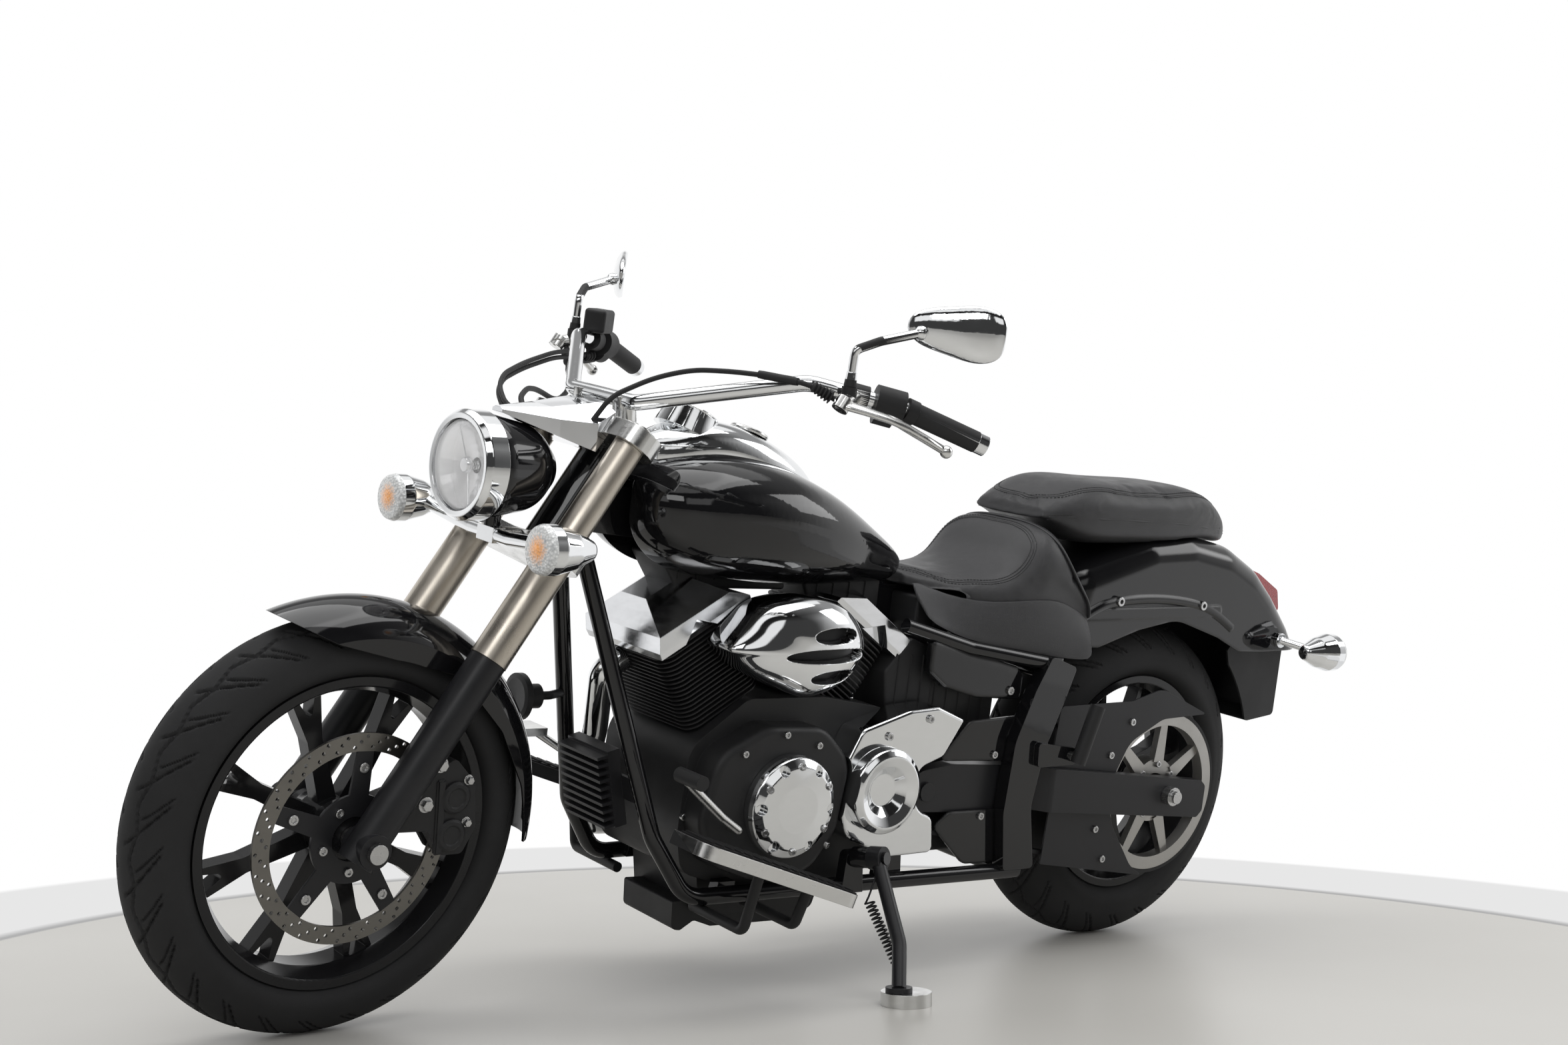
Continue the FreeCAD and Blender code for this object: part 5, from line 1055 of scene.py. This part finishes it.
# Bellows at the cables' ends: start, stop, radius, inner radius, folds
CABLE_BOOTS = (
    ((1128, 353, 1048), (1152, 332, 1062), 11, 6.2, 6), ((1163, 312, 1064), (1188, 250, 1065), 6.6, 6.0, 2),
    ((1052, -353, 1025), (1078, -340, 1022), 9, 5.4, 3), ((1108, -356, 1030), (1114, -322, 988), 10, 6.4, 3),
)
form = bmesh.new()
for start, stop, radius, thin, folds in CABLE_BOOTS:
    way = Vector(stop) - Vector(start)
    long = way.length
    profile = [(0, 0), (thin, 0)]
    for i in range(folds):
        a, b = long * (i + 0.25) / folds, long * (i + 0.75) / folds
        swell = radius - (radius - thin) * 0.55 * i / folds
        profile += [(swell, a), (swell, (a + b) / 2), (thin + 0.4, b)]
    spin(form, [*profile, (thin, long), (0, long)], STEERED @ facing(start, way, "X"), 24)
from_bmesh("cable_boots", form, soft_rubber, "steering")

# Camera, in the frame's metres: the photo's focal length and width are in its pixels
SENSOR_MM, FOCAL_PIXELS, PHOTO_PIXELS = 36.0, 3041.82, 2352
CAMERA_AT = Vector((2.26253, 2.66305, 0.63877))
CAMERA_RIGHT = Vector((-0.78192048, 0.62328072, 0.01102287))
CAMERA_UP = Vector((0.03537503, 0.02671096, 0.99901708))
CAMERA_AHEAD = Vector((-0.62237366, -0.78154185, 0.04293443))
lens = bpy.data.cameras.new("studio_camera")
lens.sensor_width = SENSOR_MM
lens.lens = FOCAL_PIXELS / PHOTO_PIXELS * SENSOR_MM
lens.clip_end = 60.0
camera = linked("studio_camera", lens)
camera.matrix_world = shift(CAMERA_AT) @ Matrix((CAMERA_RIGHT, CAMERA_UP, -CAMERA_AHEAD)).transposed().to_4x4()
scene.camera = camera

# Studio, in the frame's metres
ROOM_CENTRE, ROOM_RADIUS = (0.013, 0.101, 0.0), 1.683
CAMERA_SIDE, CROSSWISE = (0.62, 0.78, 0.0), (-0.78, 0.62, 0.0)
WHITE = (1, 1, 1)

# A grey floor round the machine that the camera sees end in white, with a skirting band
form = bmesh.new()
bmesh.ops.create_circle(form, cap_ends=True, segments=96, radius=9.0)
mesh = bpy.data.meshes.new("studio_floor")
form.to_mesh(mesh)
form.free()
made = Shader("pale_floor")
broad = made.noise(0.7, 4.0)
tone = made.mix(broad, (0.43, 0.42, 0.395), (0.47, 0.46, 0.435))
made.done(
    Base_Color=made.mix(made.noise(6.0, 6.0, 0.6), tone, (0.45, 0.44, 0.415)),
    Roughness=made.ramp(broad, 0.3, 0.42), Specular_IOR_Level=0.3,
    Normal=made.bump(made.noise(220.0, 3.0), 0.0001),
)
away = made.measure("DISTANCE", made.place, ROOM_CENTRE)
far_side = made.ramp(made.measure("DOT_PRODUCT", made.place, CAMERA_SIDE), 1.0, 0.0, -0.2, 1.0)
path = made.add("LightPath").outputs
rays = path["Is Camera Ray"]
for kind in ("Is Glossy Ray", "Is Transmission Ray"):
    rays = made.maths("MAXIMUM", rays, made.maths("MULTIPLY", path[kind], far_side))
seen = made.maths("MULTIPLY", made.ramp(away, 0.0, 1.0, ROOM_RADIUS, ROOM_RADIUS + 0.01), rays)
board = made.ramp(away, 0.80, 1.0, ROOM_RADIUS + 0.46, ROOM_RADIUS + 0.50)
line = made.ramp(away, 0.55, 1.0, ROOM_RADIUS + 0.02, ROOM_RADIUS + 0.06)
white = made.add("Emission", Color=WHITE, Strength=made.maths("MULTIPLY", board, line))
both = made.add("MixShader", seen, made.shader.outputs[0], white.outputs[0])
made.join(both.outputs[0], made.tree.nodes["Material Output"].inputs["Surface"])
mesh.materials.append(made.material)
linked("studio_floor", mesh)

# A white wall behind the machine and a dim room with windows on the camera's side
WINDOWS = (  # low, high, left, right, brightness
    (0.20, 0.52, -0.75, -0.28, 0.95), (0.22, 0.50, 0.22, 0.66, 0.9), (0.72, 0.90, -0.55, 0.55, 1.0),
)
world = bpy.data.worlds.new("studio")
scene.world = world
world.use_nodes = True
world.node_tree.nodes.clear()
sky = Nodes(world.node_tree)


def band(value, low, high, soft=0.02):
    rise = sky.ramp(value, 0.0, 1.0, low - soft, low + soft)
    return sky.maths("MULTIPLY", rise, sky.ramp(value, 1.0, 0.0, high - soft, high + soft))


def light(strength):
    return sky.add("Background", Color=WHITE, Strength=strength).outputs[0]


place = sky.add("TexCoord").outputs["Generated"]
up = sky.add("SeparateXYZ", Vector=place).outputs["Z"]
ahead, across = (sky.measure("DOT_PRODUCT", place, way) for way in (CAMERA_SIDE, CROSSWISE))
shade = sky.maths("MULTIPLY", sky.ramp(ahead, 1.0, 0.045, -0.3, 0.25), sky.ramp(up, 1.0, 0.30, 0.42, 0.6))
for low, high, left, right, bright in WINDOWS:
    window = sky.maths("MULTIPLY", band(up, low, high), band(across, left, right))
    shade = sky.maths("MAXIMUM", shade, sky.maths("MULTIPLY", window, bright))
path = sky.add("LightPath").outputs
even = light(sky.ramp(up, 0.95, 0.72, -0.1, 1.0))
room = sky.add("MixShader", path["Is Glossy Ray"], even, light(shade)).outputs[0]
clear = sky.maths("MAXIMUM", path["Is Camera Ray"], path["Is Transmission Ray"])
sky.add("OutputWorld", sky.add("MixShader", clear, room, light(1.0)).outputs[0])


def softbox(name, at, target, width, height, watts):
    lamp = bpy.data.lights.new(name, "AREA")
    lamp.shape, lamp.size, lamp.size_y, lamp.energy = "RECTANGLE", width, height, watts
    box = linked(name, lamp)
    box.location = at
    box.rotation_mode = "QUATERNION"
    box.rotation_quaternion = (Vector(target) - Vector(at)).to_track_quat("-Z", "Y")


softbox("overhead_softbox", (0.2, 0.1, 3.9), (0.1, 0.0, 0.5), 5.0, 2.4, 95)
softbox("near_softbox", (3.2, 3.0, 3.0), (0.2, 0.0, 0.5), 2.2, 1.4, 32)
softbox("tail_softbox", (-3.4, 1.6, 2.6), (-0.4, 0.0, 0.5), 1.8, 1.8, 28)
scene.view_settings.view_transform = "Standard"
